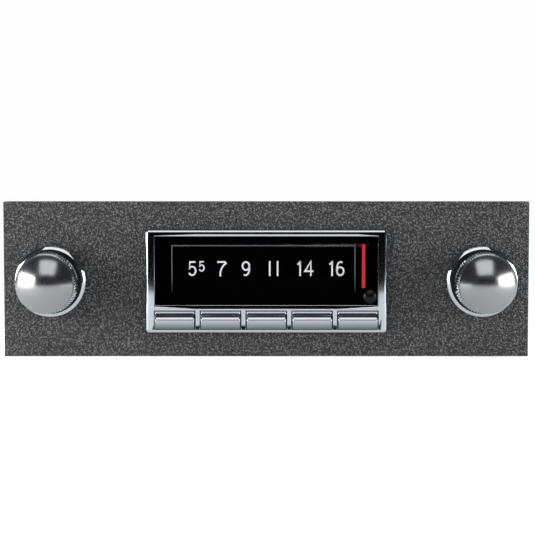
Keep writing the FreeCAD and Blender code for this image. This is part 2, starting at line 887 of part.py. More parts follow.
def core_carriage():
    """Rack and yoke that carry the three cores, on a guide rod."""
    left = pointer_x - 8.7
    bar_top = core_pitch + 4.2
    bar = rack((pointer_x - 2.0, pointer_x + core_travel + 2.0), pointer_x, core_pitch, bar_top, core_y)
    root = core_pitch + DEDENDUM * dim.gear_module
    arm_y = (behind(core_y[0]), behind(core_y[1]))
    arm = box((left, pointer_x - 2.0), arm_y, (above(root), above(bar_top)))
    yoke = box(
        (left - 4.0, left),
        (behind(core_y[0] - 4.0), behind(core_lines()[-1] + 5.0)),
        (above(3.0), above(guide_height() + 3.5)),
    )
    guide_bore = dim.arbor_radius + dim.running_gap
    bore = rod("x", guide_bore, (left - 5.0, left + 1.0), y=behind(guide_y()), z=above(guide_height()))
    keep("core_carriage", joined(less(yoke, bore), arm, feature(bar)))
    core_x = (left - 4.0 - dim.core_length, left - 4.0)
    cores = [
        rod("x", dim.core_radius, core_x, y=behind(depth), z=above(core_height())) for depth in core_lines()
    ]
    keep("ferrite_cores", group(*cores))
    return left - 4.0 - dim.core_length


def core_lines():
    return [core_y[0] + 10.0 * step for step in range(3)]


def core_height():
    return 6.0


def guide_height():
    return 13.6


def guide_y():
    return core_y[0] + 15.0


def coils(tips):
    """Former with three tubes between two flanges, fixed to the rear plate, and a winding on each tube."""
    right = tips - 2.0
    left = right - dim.core_length
    bore = dim.core_radius + 0.3
    depth = (behind(core_y[0] - 5.5), behind(rear_plate))
    height = (above(0.0), above(11.6))
    flanges = [box((left, left + 2.0), depth, height), box((right - 2.0, right), depth, height)]
    level = above(core_height())
    through = (left - 1.0, right + 1.0)
    tubes = [rod("x", bore + 1.0, (left, right), y=behind(line), z=level) for line in core_lines()]
    bores = [rod("x", bore, through, y=behind(line), z=level) for line in core_lines()]
    keep("coil_former", less(joined(*flanges, *tubes), *bores))
    windings = [
        tube("x", bore + 2.2, bore + 1.0, (left + 2.0, right - 2.0), y=behind(line), z=above(core_height()))
        for line in core_lines()
    ]
    keep("coil_windings", group(*windings))


def tuner_plates():
    """The tuner's front and rear plates, with slots for the slides, and the spacers between them."""
    low = above(-22.0)
    high = above(22.0)
    slots = []
    for number in range(int(dim.button_count)):
        centre = button_x(number)
        half = dim.slide_width / 2 + dim.slide_gap
        slots.append((centre - half, centre + half))
    slot_z = (above(slide_low - dim.slide_gap), above(slide_high + dim.slide_gap))
    left, ear_right = ear_span()
    front_right = right_x + 8.0
    rear_right = drive_x + 8.0
    front = box((left, front_right), (behind(plate_front), behind(plate_back)), (low, high))
    through = (behind(plate_front - 1.0), behind(plate_back + 1.0))
    cuts = [box(span, through, slot_z) for span in slots]
    tang_slot = (dim.pointer_rest - dim.pointer_travel - 2.4, dim.pointer_rest + 2.4)
    cuts.append(box(tang_slot, through, (above(slot_low - 0.6), above(slot_high + 0.6))))
    cuts.append(rod("y", dim.shaft_radius + dim.running_gap, through, x=right_x, z=dim.axis_z))
    rail_x = (pointer_x - dim.pointer_travel - 4.0, half_chassis - dim.chassis_sheet - 1.0)
    rail_low = rack_top() + 0.1
    rail_y = (behind(plate_back), behind(small_y[1] + 1.3))
    rail = box(rail_x, rail_y, (above(rail_low), above(rail_low + 1.2)))
    lip = box(
        rail_x,
        (behind(small_y[1] + 0.1), behind(small_y[1] + 1.3)),
        (above(pointer_pitch + 1.4), above(rail_low)),
    )
    keep("tuner_front_plate", joined(less(front, *cuts), rail, lip))
    rear_y = (behind(rear_plate), behind(rear_plate + dim.tuner_sheet))
    rear = box((left, rear_right), rear_y, (low, above(18.0)))
    cuts = [box(span, (rear_y[0] - 1.0, rear_y[1] + 1.0), slot_z) for span in slots]
    ears = []
    ear_y = (behind(treadle_y() - 6.0), behind(rear_plate))
    ear_z = (above(-10.0), above(guide_height() + 4.0))
    pivot_radius = dim.arbor_radius + dim.running_gap
    for ear in ((left, left + dim.tuner_sheet), (ear_right - dim.tuner_sheet, ear_right)):
        side = box(ear, ear_y, ear_z)
        across = (ear[0] - 1.0, ear[1] + 1.0)
        pivot = rod("x", pivot_radius, across, y=behind(treadle_y()), z=above(treadle_height()))
        seat = rod("x", dim.arbor_radius, across, y=behind(guide_y()), z=above(guide_height()))
        ears.append(less(side, pivot, seat))
    keep("tuner_rear_plate", joined(less(rear, *cuts), *ears))
    spacers = [
        rod("y", 2.0, (behind(chassis_inside), behind(plate_front)), x=x, z=above(height))
        for x in (-collar_half - 6.0, collar_half + 6.0)
        for height in (-16.0, 16.0)
    ]
    spacers += [
        rod("y", 2.0, (behind(plate_back), behind(rear_plate)), x=x, z=above(height))
        for x, height in ((left + 3.0, -19.4), (left + 4.5, 9.0), (drive_x + 5.0, -drive_pitch - 2.0))
    ]
    keep("tuner_spacers", group(*spacers))
    treadle(ear_span())


def tuner_left():
    return left_x + dim.control_radius + dim.tuner_clearance


def ear_span():
    """From the outside of one ear of the rear plate to the outside of the other."""
    return tuner_left(), idler_x[0] + 2.0 + dim.tuner_sheet


def treadle_y():
    return rear_plate - 8.0


def treadle_height():
    return -5.5


def treadle(span):
    """Rocking bar above the preset cams, with one paddle for each button."""
    paddles = []
    for number in range(int(dim.button_count)):
        centre = button_x(number)
        paddles.append(
            box(
                (centre - 4.0, centre + 4.0),
                (behind(treadle_y() - 0.6), behind(treadle_y() + 0.6)),
                (above(slide_high + 3.2), above(treadle_height())),
            )
        )
    bar = rod("x", dim.arbor_radius, span, y=behind(treadle_y()), z=above(treadle_height()))
    keep("treadle_bar", joined(bar, *paddles))


def dial_lamp():
    """Lamp behind the dial plate, in a socket on the tuner's front plate."""
    x = -dim.lens_width / 4
    shell = tube("y", 4.6, 3.4, (behind(plate_front - 5.0), behind(plate_front - 1.0)), x=x, z=above(3.0))
    back = rod("y", 4.6, (behind(plate_front - 1.0), behind(plate_front)), x=x, z=above(3.0))
    keep("lamp_socket", joined(shell, back))
    base = rod("y", 3.4, (behind(plate_front - 5.0), behind(plate_front - 1.0)), x=x, z=above(3.0))
    glass = rod("y", 2.8, (behind(plate_front - 9.5), behind(plate_front - 5.0)), x=x, z=above(3.0))
    ball = doc.addObject("Part::Sphere", "ball")
    ball.Radius = 2.8
    bind(ball, "Placement.Base.x", x)
    bind(ball, "Placement.Base.y", behind(plate_front - 9.5))
    bind(ball, "Placement.Base.z", above(3.0))
    keep("dial_lamp", joined(base, glass, ball))


# ---- chassis -------------------------------------------------------------------------------------------------------


def cover_spots():
    """Places of the cover screws, three along each side flange."""
    side = half_chassis - dim.chassis_sheet - dim.flange_width / 2
    depths = (chassis_front + 14.0, chassis_front + dim.chassis_depth / 2, chassis_back - 14.0)
    return [(sign * side, depth) for sign in (-1, 1) for depth in depths]


def board_spots():
    side = half_chassis - dim.chassis_sheet - dim.flange_width / 2
    back = chassis_back - dim.chassis_sheet - dim.flange_width / 2
    middle = -half_chassis / 3
    return [(-side, chassis_back - 42.0), (-side, back), (middle, back), (half_chassis * 0.45, back)]


def board_low():
    return -dim.chassis_height / 2 + 13.0


def chassis_frame():
    """Folded frame with flanges at the top and bottom, a window for the dial and posts for the board."""
    full = (-half_chassis, half_chassis)
    inner = half_chassis - dim.chassis_sheet
    opened = inner - dim.flange_width
    full_y = (behind(chassis_front), behind(chassis_back))
    body = box(full, full_y, (above(-chassis_high), above(chassis_high)))
    hollow = box(
        (-inner, inner),
        (behind(chassis_inside), behind(chassis_back - dim.chassis_sheet)),
        (above(-chassis_high + dim.chassis_sheet), above(chassis_high - dim.chassis_sheet)),
    )
    mouth_back = chassis_back - dim.chassis_sheet - dim.flange_width
    mouth = box(
        (-opened, opened),
        (behind(chassis_inside + dim.flange_width), behind(mouth_back)),
        (above(-chassis_high - 1.0), above(chassis_high + 1.0)),
    )
    front = (behind(chassis_front - 1.0), behind(chassis_inside + 0.5))
    cuts = [hollow, mouth]
    cuts.append(box((-opening_half, opening_half), front, (above(opening_low), above(opening_high))))
    for side in (-1, 1):
        cuts.append(rod("y", dim.bushing_radius + 0.1, front, x=side * right_x, z=dim.axis_z))
        cuts.append(rod("y", 1.1, front, x=side * (collar_half - 2.0), z=dim.axis_z))
    rear = (behind(chassis_back - dim.chassis_sheet - 0.5), behind(chassis_back + 1.0))
    cuts.append(rod("y", socket_radius(), rear, x=socket_x(), z=dim.axis_z))
    plug_x, plug_z = plug_span()
    cuts.append(box(plug_x, rear, plug_z))
    for x, height in rear_screw_spots():
        cuts.append(rod("y", dim.screw_radius, rear, x=x, z=height))
    for x, depth in cover_spots():
        span = (above(-chassis_high - 1.0), above(chassis_high + 1.0))
        cuts.append(rod("z", dim.screw_radius, span, x=x, y=behind(depth)))
    posts = [
        rod("z", 2.4, (above(-chassis_high + dim.chassis_sheet), above(board_low())), x=x, y=behind(depth))
        for x, depth in board_spots()
    ]
    keep("chassis_frame", joined(less(body, *cuts), *posts))


def cover(node, low):
    """Flat cover with its screw holes; the upper one has two rows of vents."""
    sheet_z = (above(low), above(low + dim.cover_sheet))
    body = box((-half_chassis, half_chassis), (behind(chassis_front), behind(chassis_back)), sheet_z)
    through = (sheet_z[0] - 1.0, sheet_z[1] + 1.0)
    cuts = [rod("z", dim.screw_radius, through, x=x, y=behind(depth)) for x, depth in cover_spots()]
    if node == "top_cover":
        for row in (chassis_back - 34.0, chassis_back - 60.0):
            for column in range(-7, 8):
                centre = column * 11.0
                slot = (behind(row), behind(row + 18.0))
                cuts.append(box((Size(centre, f"({centre})") - 1.6, centre + 1.6), slot, through))
    keep(node, less(body, *cuts))


def screw(x, y, z, axis, head, tip):
    """A cheese-head screw. head and tip are the ends of its shank along the axis."""
    centre = {"x": x, "y": y, "z": z}
    del centre[axis]
    low, high = sorted((head, tip), key=float)
    shank = rod(axis, dim.screw_radius, (low, high), **centre)
    cap = (head, head + 1.4) if float(head) > float(tip) else (head - 1.4, head)
    return joined(shank, rod(axis, dim.screw_radius * 1.9, cap, **centre))


def case_screws():
    """Every small screw: the covers', the bracket's, the heat sink's and the two that hold the bezel."""
    top = chassis_high + dim.cover_sheet
    screws = []
    for x, depth in cover_spots():
        screws.append(screw(x, behind(depth), None, "z", above(top), above(chassis_high - 3.0)))
        screws.append(screw(x, behind(depth), None, "z", above(-top), above(-chassis_high + 3.0)))
    for x, height in rear_screw_spots():
        outside = foot_sheet() if x > -half_chassis / 3 else Size(3.0, "3.0")
        screws.append(screw(x, None, height, "y", behind(chassis_back + outside), behind(chassis_back - 4.0)))
    for side in (-1, 1):
        x = side * (collar_half - 2.0)
        shank = rod("y", 1.0, (behind(dial_back + 0.8), behind(chassis_inside)), x=x, z=dim.axis_z)
        head = rod("y", 1.9, (behind(chassis_inside), behind(chassis_inside + 1.4)), x=x, z=dim.axis_z)
        screws.append(joined(shank, head))
    keep("case_screws", group(*screws))


# ---- rear ----------------------------------------------------------------------------------------------------------


def foot_sheet():
    return Size(2.0, "2.0")


def sink_x():
    return -half_chassis + 10.0


def rear_screw_spots():
    """Two screws for the bracket and two for the heat sink."""
    centre = sink_x() + dim.sink_width / 2
    return [
        (Size(-20.0, "(-20.0)"), above(-15.0)),
        (Size(20.0, "(20.0)"), above(-15.0)),
        (centre, above(-dim.sink_height / 2 + 3.6)),
        (centre, above(dim.sink_height / 2 - 3.6)),
    ]


def support_bracket():
    """Angle that carries the rear of the radio, with two slots in its foot."""
    thick = foot_sheet()
    across = (Size(-FOOT_HALF, f"({-FOOT_HALF})"), FOOT_HALF)
    ground = Size(0.0, "0.0")
    leg_y = (behind(chassis_back), behind(chassis_back + thick))
    leg = box(across, leg_y, (ground, above(-7.0)))
    foot_y = (behind(chassis_back), behind(chassis_back + dim.foot_reach))
    foot = box(across, foot_y, (ground, thick))
    cuts = []
    for x in (-FOOT_SLOT_X, FOOT_SLOT_X):
        centre = Size(x, f"({x})")
        middle = behind(chassis_back + dim.foot_reach / 2 + 1.0)
        deep = (Size(-1.0, "(-1.0)"), thick + 1.0)
        cuts.append(box((centre - 2.4, centre + 2.4), (middle - 2.6, middle + 2.6), deep))
        cuts.append(rod("z", 2.6, deep, x=centre - 2.4, y=middle))
        cuts.append(rod("z", 2.6, deep, x=centre + 2.4, y=middle))
    through = (behind(chassis_back - 1.0), behind(chassis_back + thick + 1.0))
    for x, height in rear_screw_spots()[:2]:
        cuts.append(rod("y", dim.screw_radius, through, x=x, z=height))
    keep("support_bracket", less(joined(leg, foot), joined(*cuts)))


def heat_sink():
    """Finned plate on the rear wall, with a bare middle for the output transistor."""
    left = sink_x()
    right = left + dim.sink_width
    low = above(-dim.sink_height / 2)
    high = above(dim.sink_height / 2)
    base = box((left, right), (behind(chassis_back), behind(chassis_back + 3.0)), (low, high))
    fins = []
    fin_y = (behind(chassis_back + 2.0), behind(chassis_back + dim.sink_reach))
    for number in range(3):
        step = 4.5 * number
        for x in (left + step, right - step - FIN_THICK):
            fins.append(box((x, x + FIN_THICK), fin_y, (low, high)))
    cuts = [
        rod("y", dim.screw_radius, (behind(chassis_back - 1.0), behind(chassis_back + 4.0)), x=x, z=height)
        for x, height in rear_screw_spots()[2:]
    ]
    keep("heat_sink", less(joined(base, *fins), *cuts))
    centre = left + dim.sink_width / 2
    flange = rod("y", 10.5, (behind(chassis_back + 3.0), behind(chassis_back + 4.6)), x=centre, z=dim.axis_z)
    cap = rod("y", 9.6, (behind(chassis_back + 4.6), behind(chassis_back + 11.0)), x=centre, z=dim.axis_z)
    keep("output_transistor", joined(flange, cap))


def socket_x():
    return half_chassis - 20.0


def socket_radius():
    return 6.5


def antenna_socket():
    """Round aerial socket through the rear wall, open to the rear."""
    x = socket_x()
    back = behind(chassis_back)
    barrel = rod("y", socket_radius(), (back - 12.0, back + 8.0), x=x, z=dim.axis_z)
    flange = rod("y", 9.0, (back, back + 1.5), x=x, z=dim.axis_z)
    bore = rod("y", 4.0, (back - 9.0, back + 9.0), x=x, z=dim.axis_z)
    keep("antenna_socket", less(joined(barrel, flange), bore))


def plug_span():
    """Where the power connector passes through the rear wall."""
    centre = half_chassis / 2 - 2.0
    return (centre - 13.0, centre + 13.0), (above(-6.0), above(7.0))


def power_connector():
    """Block with a recess and four blades for the supply and the loudspeaker."""
    (left, right), (low, high) = plug_span()
    back = behind(chassis_back)
    shell = box((left, right), (back - 6.0, back + 10.0), (low, high))
    recess = box((left + 1.6, right - 1.6), (back - 1.0, back + 11.0), (low + 1.6, high - 1.6))
    blades = []
    for number in range(4):
        x = left + 5.2 + number * 5.2
        blades.append(box((x - 0.4, x + 0.4), (back - 2.0, back + 4.4), (low + 3.4, high - 3.4)))
    keep("power_connector", joined(less(shell, recess), *blades))


# ---- electronics ---------------------------------------------------------------------------------------------------


def circuit_board():
    """Board on its posts behind the tuner."""
    left = -half_chassis + dim.chassis_sheet + 1.2
    y = (behind(rear_plate + 10.0), behind(chassis_back - dim.chassis_sheet - 1.0))
    top = board_low() + 1.6
    board = box((left, half_chassis * 0.5), y, (above(board_low()), above(top)))
    keep("circuit_board", board)
    front = rear_plate + 12.0
    cans = []
    can_z = (above(top), above(top + 16.0))
    for number in range(3):
        x = left + 14.0 + number * 22.0
        cans.append(box((x, x + CAN_SIDE), (behind(front), behind(front + CAN_SIDE)), can_z))
    keep("if_cans", group(*cans))
    parts = []
    for number in range(4):
        x = left + 12.0 + number * 30.0
        parts.append(rod("z", 5.0, (above(top), above(top + 18.0)), x=x, y=behind(front + 33.0)))
    for number in range(6):
        x = left + 8.0 + number * 20.0
        parts.append(rod("z", 2.8, (above(top), above(top + 8.0)), x=x, y=behind(front + 18.0)))
        parts.append(rod("x", 1.2, (x + 5.0, x + 12.0), y=behind(front + 19.0), z=above(top + 1.2)))
    keep("board_components", group(*parts))


def output_transformer():
    """Laminated core with its coil, on the right side wall."""
    wall = half_chassis - dim.chassis_sheet
    y = (behind(rear_plate + 8.0), behind(rear_plate + 40.0))
    core = less(
        box((wall - 16.0, wall), y, (above(-14.0), above(14.0))),
        box((wall - 17.0, wall + 1.0), (y[0] + 6.0, y[0] + 11.0), (above(-8.0), above(8.0))),
        box((wall - 17.0, wall + 1.0), (y[1] - 11.0, y[1] - 6.0), (above(-8.0), above(8.0))),
    )
    keep("output_transformer", core)
    side = (wall - 22.0, wall - 16.0)
    coil = joined(
        box(side, (y[0] + 6.0, y[1] - 6.0), (above(-8.0), above(8.0))),
        box((wall - 16.0, wall), (y[0] + 6.0, y[0] + 11.0), (above(-8.0), above(8.0))),
        box((wall - 16.0, wall), (y[1] - 11.0, y[1] - 6.0), (above(-8.0), above(8.0))),
    )
    keep("transformer_coil", coil)


# ---- assembly ------------------------------------------------------------------------------------------------------

dash_panel()
bezel()
lens()
pilot_jewel()
dial_plate()
for number in range(int(dim.button_count)):
    pushbutton(number)
    preset_slide(number)
return_springs()
for node, x in (("volume_knob", left_x), ("tuning_knob", right_x)):
    domed_knob(node, x)
for node, x in (("tone_ring", left_x), ("fader_ring", right_x)):
    control_ring(node, x)
controls()
gears()
tuner_rods()
pointer()
coils(core_carriage())
tuner_plates()
dial_lamp()
chassis_frame()
cover("top_cover", chassis_high)
cover("bottom_cover", -chassis_high - dim.cover_sheet)
case_screws()
support_bracket()
heat_sink()
antenna_socket()
power_connector()
circuit_board()
output_transformer()

doc.recompute()
for item in doc.Objects:
    if any(word in item.State for word in ("Invalid", "Error")):
        raise RuntimeError(f"{item.Label} ({item.TypeId}) did not build: {item.State}")
os.makedirs("parts", exist_ok=True)
for solid in PIECES:
    if solid.Shape.isNull() or not solid.Shape.isValid():
        raise RuntimeError(f"{solid.Label} has no valid shape")
    solid.Shape.exportStep(f"parts/{solid.Label}.step")
box_all = Part.makeCompound([solid.Shape for solid in PIECES]).BoundBox
print(len(PIECES), "sub-parts, box", box_all)
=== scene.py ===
# %% [markdown]
# # A two-shaft car radio, dressed around its CAD frame
# The radio hangs in a grained fascia panel: a chrome bezel with a lit dial and five pushbuttons, and a
# domed knob over a ring at each side. The frame gives every size and place in metres, and this script
# gives each piece its surface: first the studio and the camera, then the finishes, then the pieces from
# the front to the back.

# %% Load the frame
import json
import math

import bmesh
import bpy
from mathutils import Matrix, Vector


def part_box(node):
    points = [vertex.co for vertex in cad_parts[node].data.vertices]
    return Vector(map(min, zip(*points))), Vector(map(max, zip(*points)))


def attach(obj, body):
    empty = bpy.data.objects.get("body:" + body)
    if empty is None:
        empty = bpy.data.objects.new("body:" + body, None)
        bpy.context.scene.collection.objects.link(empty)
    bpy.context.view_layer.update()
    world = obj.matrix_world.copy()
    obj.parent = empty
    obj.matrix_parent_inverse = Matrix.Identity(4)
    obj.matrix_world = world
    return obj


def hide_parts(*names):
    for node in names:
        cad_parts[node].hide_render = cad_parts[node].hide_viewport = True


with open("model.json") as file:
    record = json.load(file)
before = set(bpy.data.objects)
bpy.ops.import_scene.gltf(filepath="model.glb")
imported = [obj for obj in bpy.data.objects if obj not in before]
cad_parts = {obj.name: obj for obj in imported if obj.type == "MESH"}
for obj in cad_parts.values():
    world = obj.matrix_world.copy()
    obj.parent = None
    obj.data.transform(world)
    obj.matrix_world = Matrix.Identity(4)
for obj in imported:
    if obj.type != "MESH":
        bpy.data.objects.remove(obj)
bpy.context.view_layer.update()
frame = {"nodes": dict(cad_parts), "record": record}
MM = 0.001
slot_of = {part["node"]: part["material_slot"] for part in frame["record"]["subparts"]}
body_of = {node: body for body, nodes in frame["record"]["behaviour"]["bodies"].items() for node in nodes}
panel_low, panel_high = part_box("dash_panel")
bezel_low, bezel_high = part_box("bezel")
lens_low, lens_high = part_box("lens")
face_y = panel_low.y
print(len(frame["nodes"]), "nodes; the panel's face is at y =", round(face_y, 4))

# %% [markdown]
# ## The camera
# The radio is looked at from a little above the middle of the panel, with a long lens so that the two
# knobs, which stand far forward, lean outwards only slightly. The distance sets that lean, and the lens
# then sets how much of the frame the panel fills.

# %% Camera
ELEVATION = math.radians(3.4)
DISTANCE = 0.612
FIELD_AT_PANEL = 0.2243
aim = Vector((0.5 * MM, face_y, (panel_low.z + panel_high.z) / 2 + 4.9 * MM))
camera_data = bpy.data.cameras.new("camera")
camera = bpy.data.objects.new("camera", camera_data)
bpy.context.scene.collection.objects.link(camera)
camera.location = aim + Vector((0.0, -math.cos(ELEVATION), math.sin(ELEVATION))) * DISTANCE
camera.rotation_euler = (math.pi / 2 - ELEVATION, 0.0, 0.0)
camera_data.sensor_width = 36.0
camera_data.lens = camera_data.sensor_width * DISTANCE / FIELD_AT_PANEL
camera_data.clip_start = 0.01
bpy.context.scene.camera = camera
print("lens", round(camera_data.lens, 1), "mm")

# %% [markdown]
# ## Finishes as expressions
# A finish is a small net of nodes. Written node by node it is long and hard to read, so one class wraps a
# socket and turns Python's arithmetic into Math nodes. A second class builds one material: it adds any
# node by its type, its settings and its sockets, and keeps the shader that the values go into.

# %% A socket that does arithmetic
class Signal:
    """One output socket. Arithmetic with numbers or other signals adds Math nodes to its tree."""

    def __init__(self, finish, socket):
        self.finish = finish
        self.socket = socket

    def math(self, operation, *values):
        node = self.finish.add("Math", {"operation": operation}, dict(enumerate(values)))
        return self.finish.out(node)

    def __add__(self, other):
        return self.math("ADD", self, other)

    def __radd__(self, other):
        return self.math("ADD", other, self)

    def __sub__(self, other):
        return self.math("SUBTRACT", self, other)

    def __rsub__(self, other):
        return self.math("SUBTRACT", other, self)

    def __mul__(self, other):
        return self.math("MULTIPLY", self, other)

    def __rmul__(self, other):
        return self.math("MULTIPLY", other, self)

    def __pow__(self, other):
        return self.math("POWER", self, other)

    def above(self, edge, softness):
        """0 below the edge and 1 above it, over a soft step."""
        span = {0: self, 1: edge - softness, 2: edge + softness}
        return self.finish.out(self.finish.add("MapRange", {"interpolation_type": "SMOOTHSTEP"}, span))


# %% A material under construction
class Finish:
    """A material with one Principled shader, built by adding nodes and plugging them in."""

    def __init__(self, name):
        self.material = bpy.data.materials.new(name)
        self.material.use_nodes = True
        self.tree = self.material.node_tree
        self.shader = self.tree.nodes["Principled BSDF"]
        self.place = self.out(self.add("TexCoord"), "Object")

    def add(self, kind, settings=None, inputs=None):
        node = self.tree.nodes.new("ShaderNode" + kind)
        for name, value in (settings or {}).items():
            if name == "stops":
                set_stops(node.color_ramp, value)
            else:
                setattr(node, name, value)
        self.plug(node, inputs or {})
        return node

    def plug(self, node, inputs):
        for name, value in inputs.items():
            if isinstance(value, Signal):
                self.tree.links.new(value.socket, node.inputs[name])
            else:
                node.inputs[name].default_value = value

    def out(self, node, name=0):
        return Signal(self, node.outputs[name])

    def set(self, **values):
        """Sets the shader's sockets, with _ for a space: set(Base_Color=..., Roughness=...)."""
        self.plug(self.shader, {name.replace("_", " "): value for name, value in values.items()})
        return self

    def noise(self, scale, detail=2.0, stretch=None, roughness=0.5):
        """Soft noise; scale is in features for each metre, and stretch squeezes it along an axis."""
        place = self.place
        if stretch:
            place = self.out(self.add("Mapping", {}, {"Vector": place, "Scale": stretch}))
        inputs = {"Vector": place, "Scale": scale, "Detail": detail, "Roughness": roughness}
        return self.out(self.add("TexNoise", {}, inputs), "Fac")

    def cells(self, scale, feature="F1", randomness=1.0):
        """Distance in a field of random cells; scale is in cells for each metre."""
        inputs = {"Vector": self.place, "Scale": scale, "Randomness": randomness}
        return self.out(self.add("TexVoronoi", {"feature": feature}, inputs), "Distance")

    def blend(self, share, first, second):
        """A colour between two others."""
        node = self.add("Mix", {"data_type": "RGBA"}, {0: share, 6: first, 7: second})
        return self.out(node, 2)

    def relief(self, height, distance, strength=1.0):
        """A bump whose height of 1 is this distance, in metres."""
        node = self.add("Bump", {}, {"Height": height, "Distance": distance, "Strength": strength})
        return self.out(node)


def set_stops(ramp, stops):
    """Puts (place, colour) stops on a colour ramp."""
    while len(ramp.elements) > 1:
        ramp.elements.remove(ramp.elements[0])
    for number, (place, colour) in enumerate(stops):
        element = ramp.elements[0] if number == 0 else ramp.elements.new(place)
        element.position = place
        element.color = colour


def tone(red, green, blue):
    """A colour with its alpha."""
    return (red, green, blue, 1.0)


print("finish tools ready")

# %% [markdown]
# ## The metals
# Plated chrome is nearly a mirror, so what it shows is the studio. What makes it look like metal and not
# like glass is small: a little grey in its tint, roughness that drifts from place to place, and a faint
# orange-peel from the polishing wheel. Zinc and nickel are duller and more uneven, and turned parts keep
# fine rings.

# %% Chrome, zinc, nickel, brass
def chrome(name, tint, roughness, peel=1.2e-6, foot=None):
    """Chrome plate. The last argument, if given, is (height, softness): below that height the tint is
    darkened as a painted shade that stands for a dimmer reflection.
    """
    finish = Finish(name)
    wear = finish.noise(55.0, 4.0)
    haze = finish.noise(420.0, 3.0)
    shade = finish.blend(wear, tone(*[part * 0.94 for part in tint]), tone(*tint))
    if foot:
        # painted shade: below the given height the chrome's tint is taken down to a third
        height = finish.out(finish.add("SeparateXYZ", {}, {"Vector": finish.place}), "Z")
        shade = finish.blend(height.above(*foot), tone(*[part * 0.3 for part in tint]), shade)
    finish.set(
        Base_Color=shade,
        Metallic=1.0,
        Roughness=roughness + haze * roughness * 0.5 + wear * 0.015,
        Normal=finish.relief(finish.noise(300.0, 2.0), peel * 6.0, 0.5),
    )
    return finish.material


def plated(name, tint, roughness, grain=(1.0, 1.0, 1.0), spangle=0.25):
    """Zinc, nickel or plain steel: uneven patches, a soft cloud and fine drawn grain."""
    finish = Finish(name)
    patches = finish.cells(160.0)
    drawn = finish.noise(2400.0, 3.0, grain)
    cloud = finish.noise(36.0, 4.0)
    dull = tone(*[part * 0.72 for part in tint])
    shade = finish.blend(patches * spangle + cloud * 0.5, dull, tone(*tint))
    finish.set(
        Base_Color=shade,
        Metallic=1.0,
        Roughness=roughness + drawn * 0.16 + cloud * 0.08,
        Normal=finish.relief(drawn, 6e-6, 0.5),
    )
    return finish.material


bright_chrome = chrome("bright_chrome", (0.42, 0.455, 0.485), 0.045)
knob_chrome = chrome("knob_chrome", (0.272, 0.276, 0.286), 0.17)
# The buttons' chrome gets a painted shade: its tint is darker below a height near their foot, for a dimmer
# reflection.
button_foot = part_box("button_1")[0].z
button_chrome = chrome("button_chrome", (0.41, 0.44, 0.47), 0.04, foot=(button_foot + 1.7 * MM, 2.2 * MM))
zinc_sheet = plated("zinc_sheet", (0.62, 0.64, 0.64), 0.30, (1.0, 0.06, 1.0), 0.5)
zinc_strip = plated("zinc_strip", (0.55, 0.57, 0.56), 0.28, (1.0, 1.0, 0.08), 0.3)
yellow_zinc = plated("yellow_zinc", (0.66, 0.60, 0.40), 0.26, (0.08, 1.0, 1.0), 0.4)
nickel = plated("nickel", (0.70, 0.68, 0.63), 0.20, (1.0, 0.1, 1.0), 0.15)
turned_steel = plated("turned_steel", (0.62, 0.62, 0.63), 0.18, (1.0, 8.0, 1.0), 0.1)
brass = plated("brass", (0.78, 0.60, 0.30), 0.22, (1.0, 6.0, 1.0), 0.15)
drawn_aluminium = plated("drawn_aluminium", (0.76, 0.77, 0.78), 0.30, (1.0, 1.0, 0.1), 0.1)
print("ten metals")

# %% [markdown]
# ## Plastics, paint and the small electrical materials
# Moulded plastic is never perfectly even: the colour drifts a little, the gloss has a faint haze, and a
# matt moulding has a fine spark texture. The same recipe with other numbers gives nylon, phenolic, enamel
# and the dipped parts.

# %% Plastic, paint, paper, laminate
def moulded(name, colour, roughness, spark=0.0, coat=0.0, drift=0.18, specular=0.5):
    finish = Finish(name)
    cloud = finish.noise(70.0, 3.0)
    fine = finish.noise(3200.0, 2.0)
    dark = tone(*[part * (1.0 - drift) for part in colour])
    finish.set(
        Base_Color=finish.blend(cloud, dark, tone(*colour)),
        Roughness=roughness + fine * 0.08,
        Normal=finish.relief(fine, 2e-6 + spark, 0.6),
    )
    finish.set(Coat_Weight=coat, Coat_Roughness=0.05, Specular_IOR_Level=specular)
    return finish.material


IRON_SHEET = 0.5 * MM


def laminated(name):
    """Stacked iron sheets: thin dark lines one sheet apart, under varnish."""
    finish = Finish(name)
    place = finish.add("SeparateXYZ", {}, {0: finish.place})
    phase = finish.out(place, "X") * (2.0 * math.pi / IRON_SHEET)
    edge = phase.math("SINE", phase).above(0.2, 0.5)
    rust = finish.noise(260.0, 4.0)
    iron = finish.blend(rust, tone(0.10, 0.085, 0.075), tone(0.19, 0.18, 0.175))
    finish.set(
        Base_Color=finish.blend(edge, tone(0.035, 0.03, 0.028), iron),
        Metallic=0.35,
        Roughness=0.42 + rust * 0.2,
        Normal=finish.relief(edge, 4e-5, 0.7),
        Coat_Weight=0.3,
    )
    return finish.material


def wound(name, bright, dark, pitch):
    """Enamelled wire wound along X: round ridges one pitch apart, coloured dark in each groove and bright on
    each crest as painted shade and painted highlight.
    """
    finish = Finish(name)
    place = finish.add("SeparateXYZ", {}, {0: finish.place})
    phase = finish.out(place, "X") * (2 * math.pi / pitch)
    height = phase.math("SINE", phase) * 0.5 + 0.5
    finish.set(
        # painted shade and painted highlight: the copper is coloured dark in the grooves and bright on the
        # crests
        Base_Color=finish.blend(height, tone(*dark), tone(*bright)),
        Metallic=0.7,
        Roughness=0.26 + finish.noise(500.0) * 0.1,
        Normal=finish.relief(height, pitch * 0.3, 0.8),
    )
    return finish.material


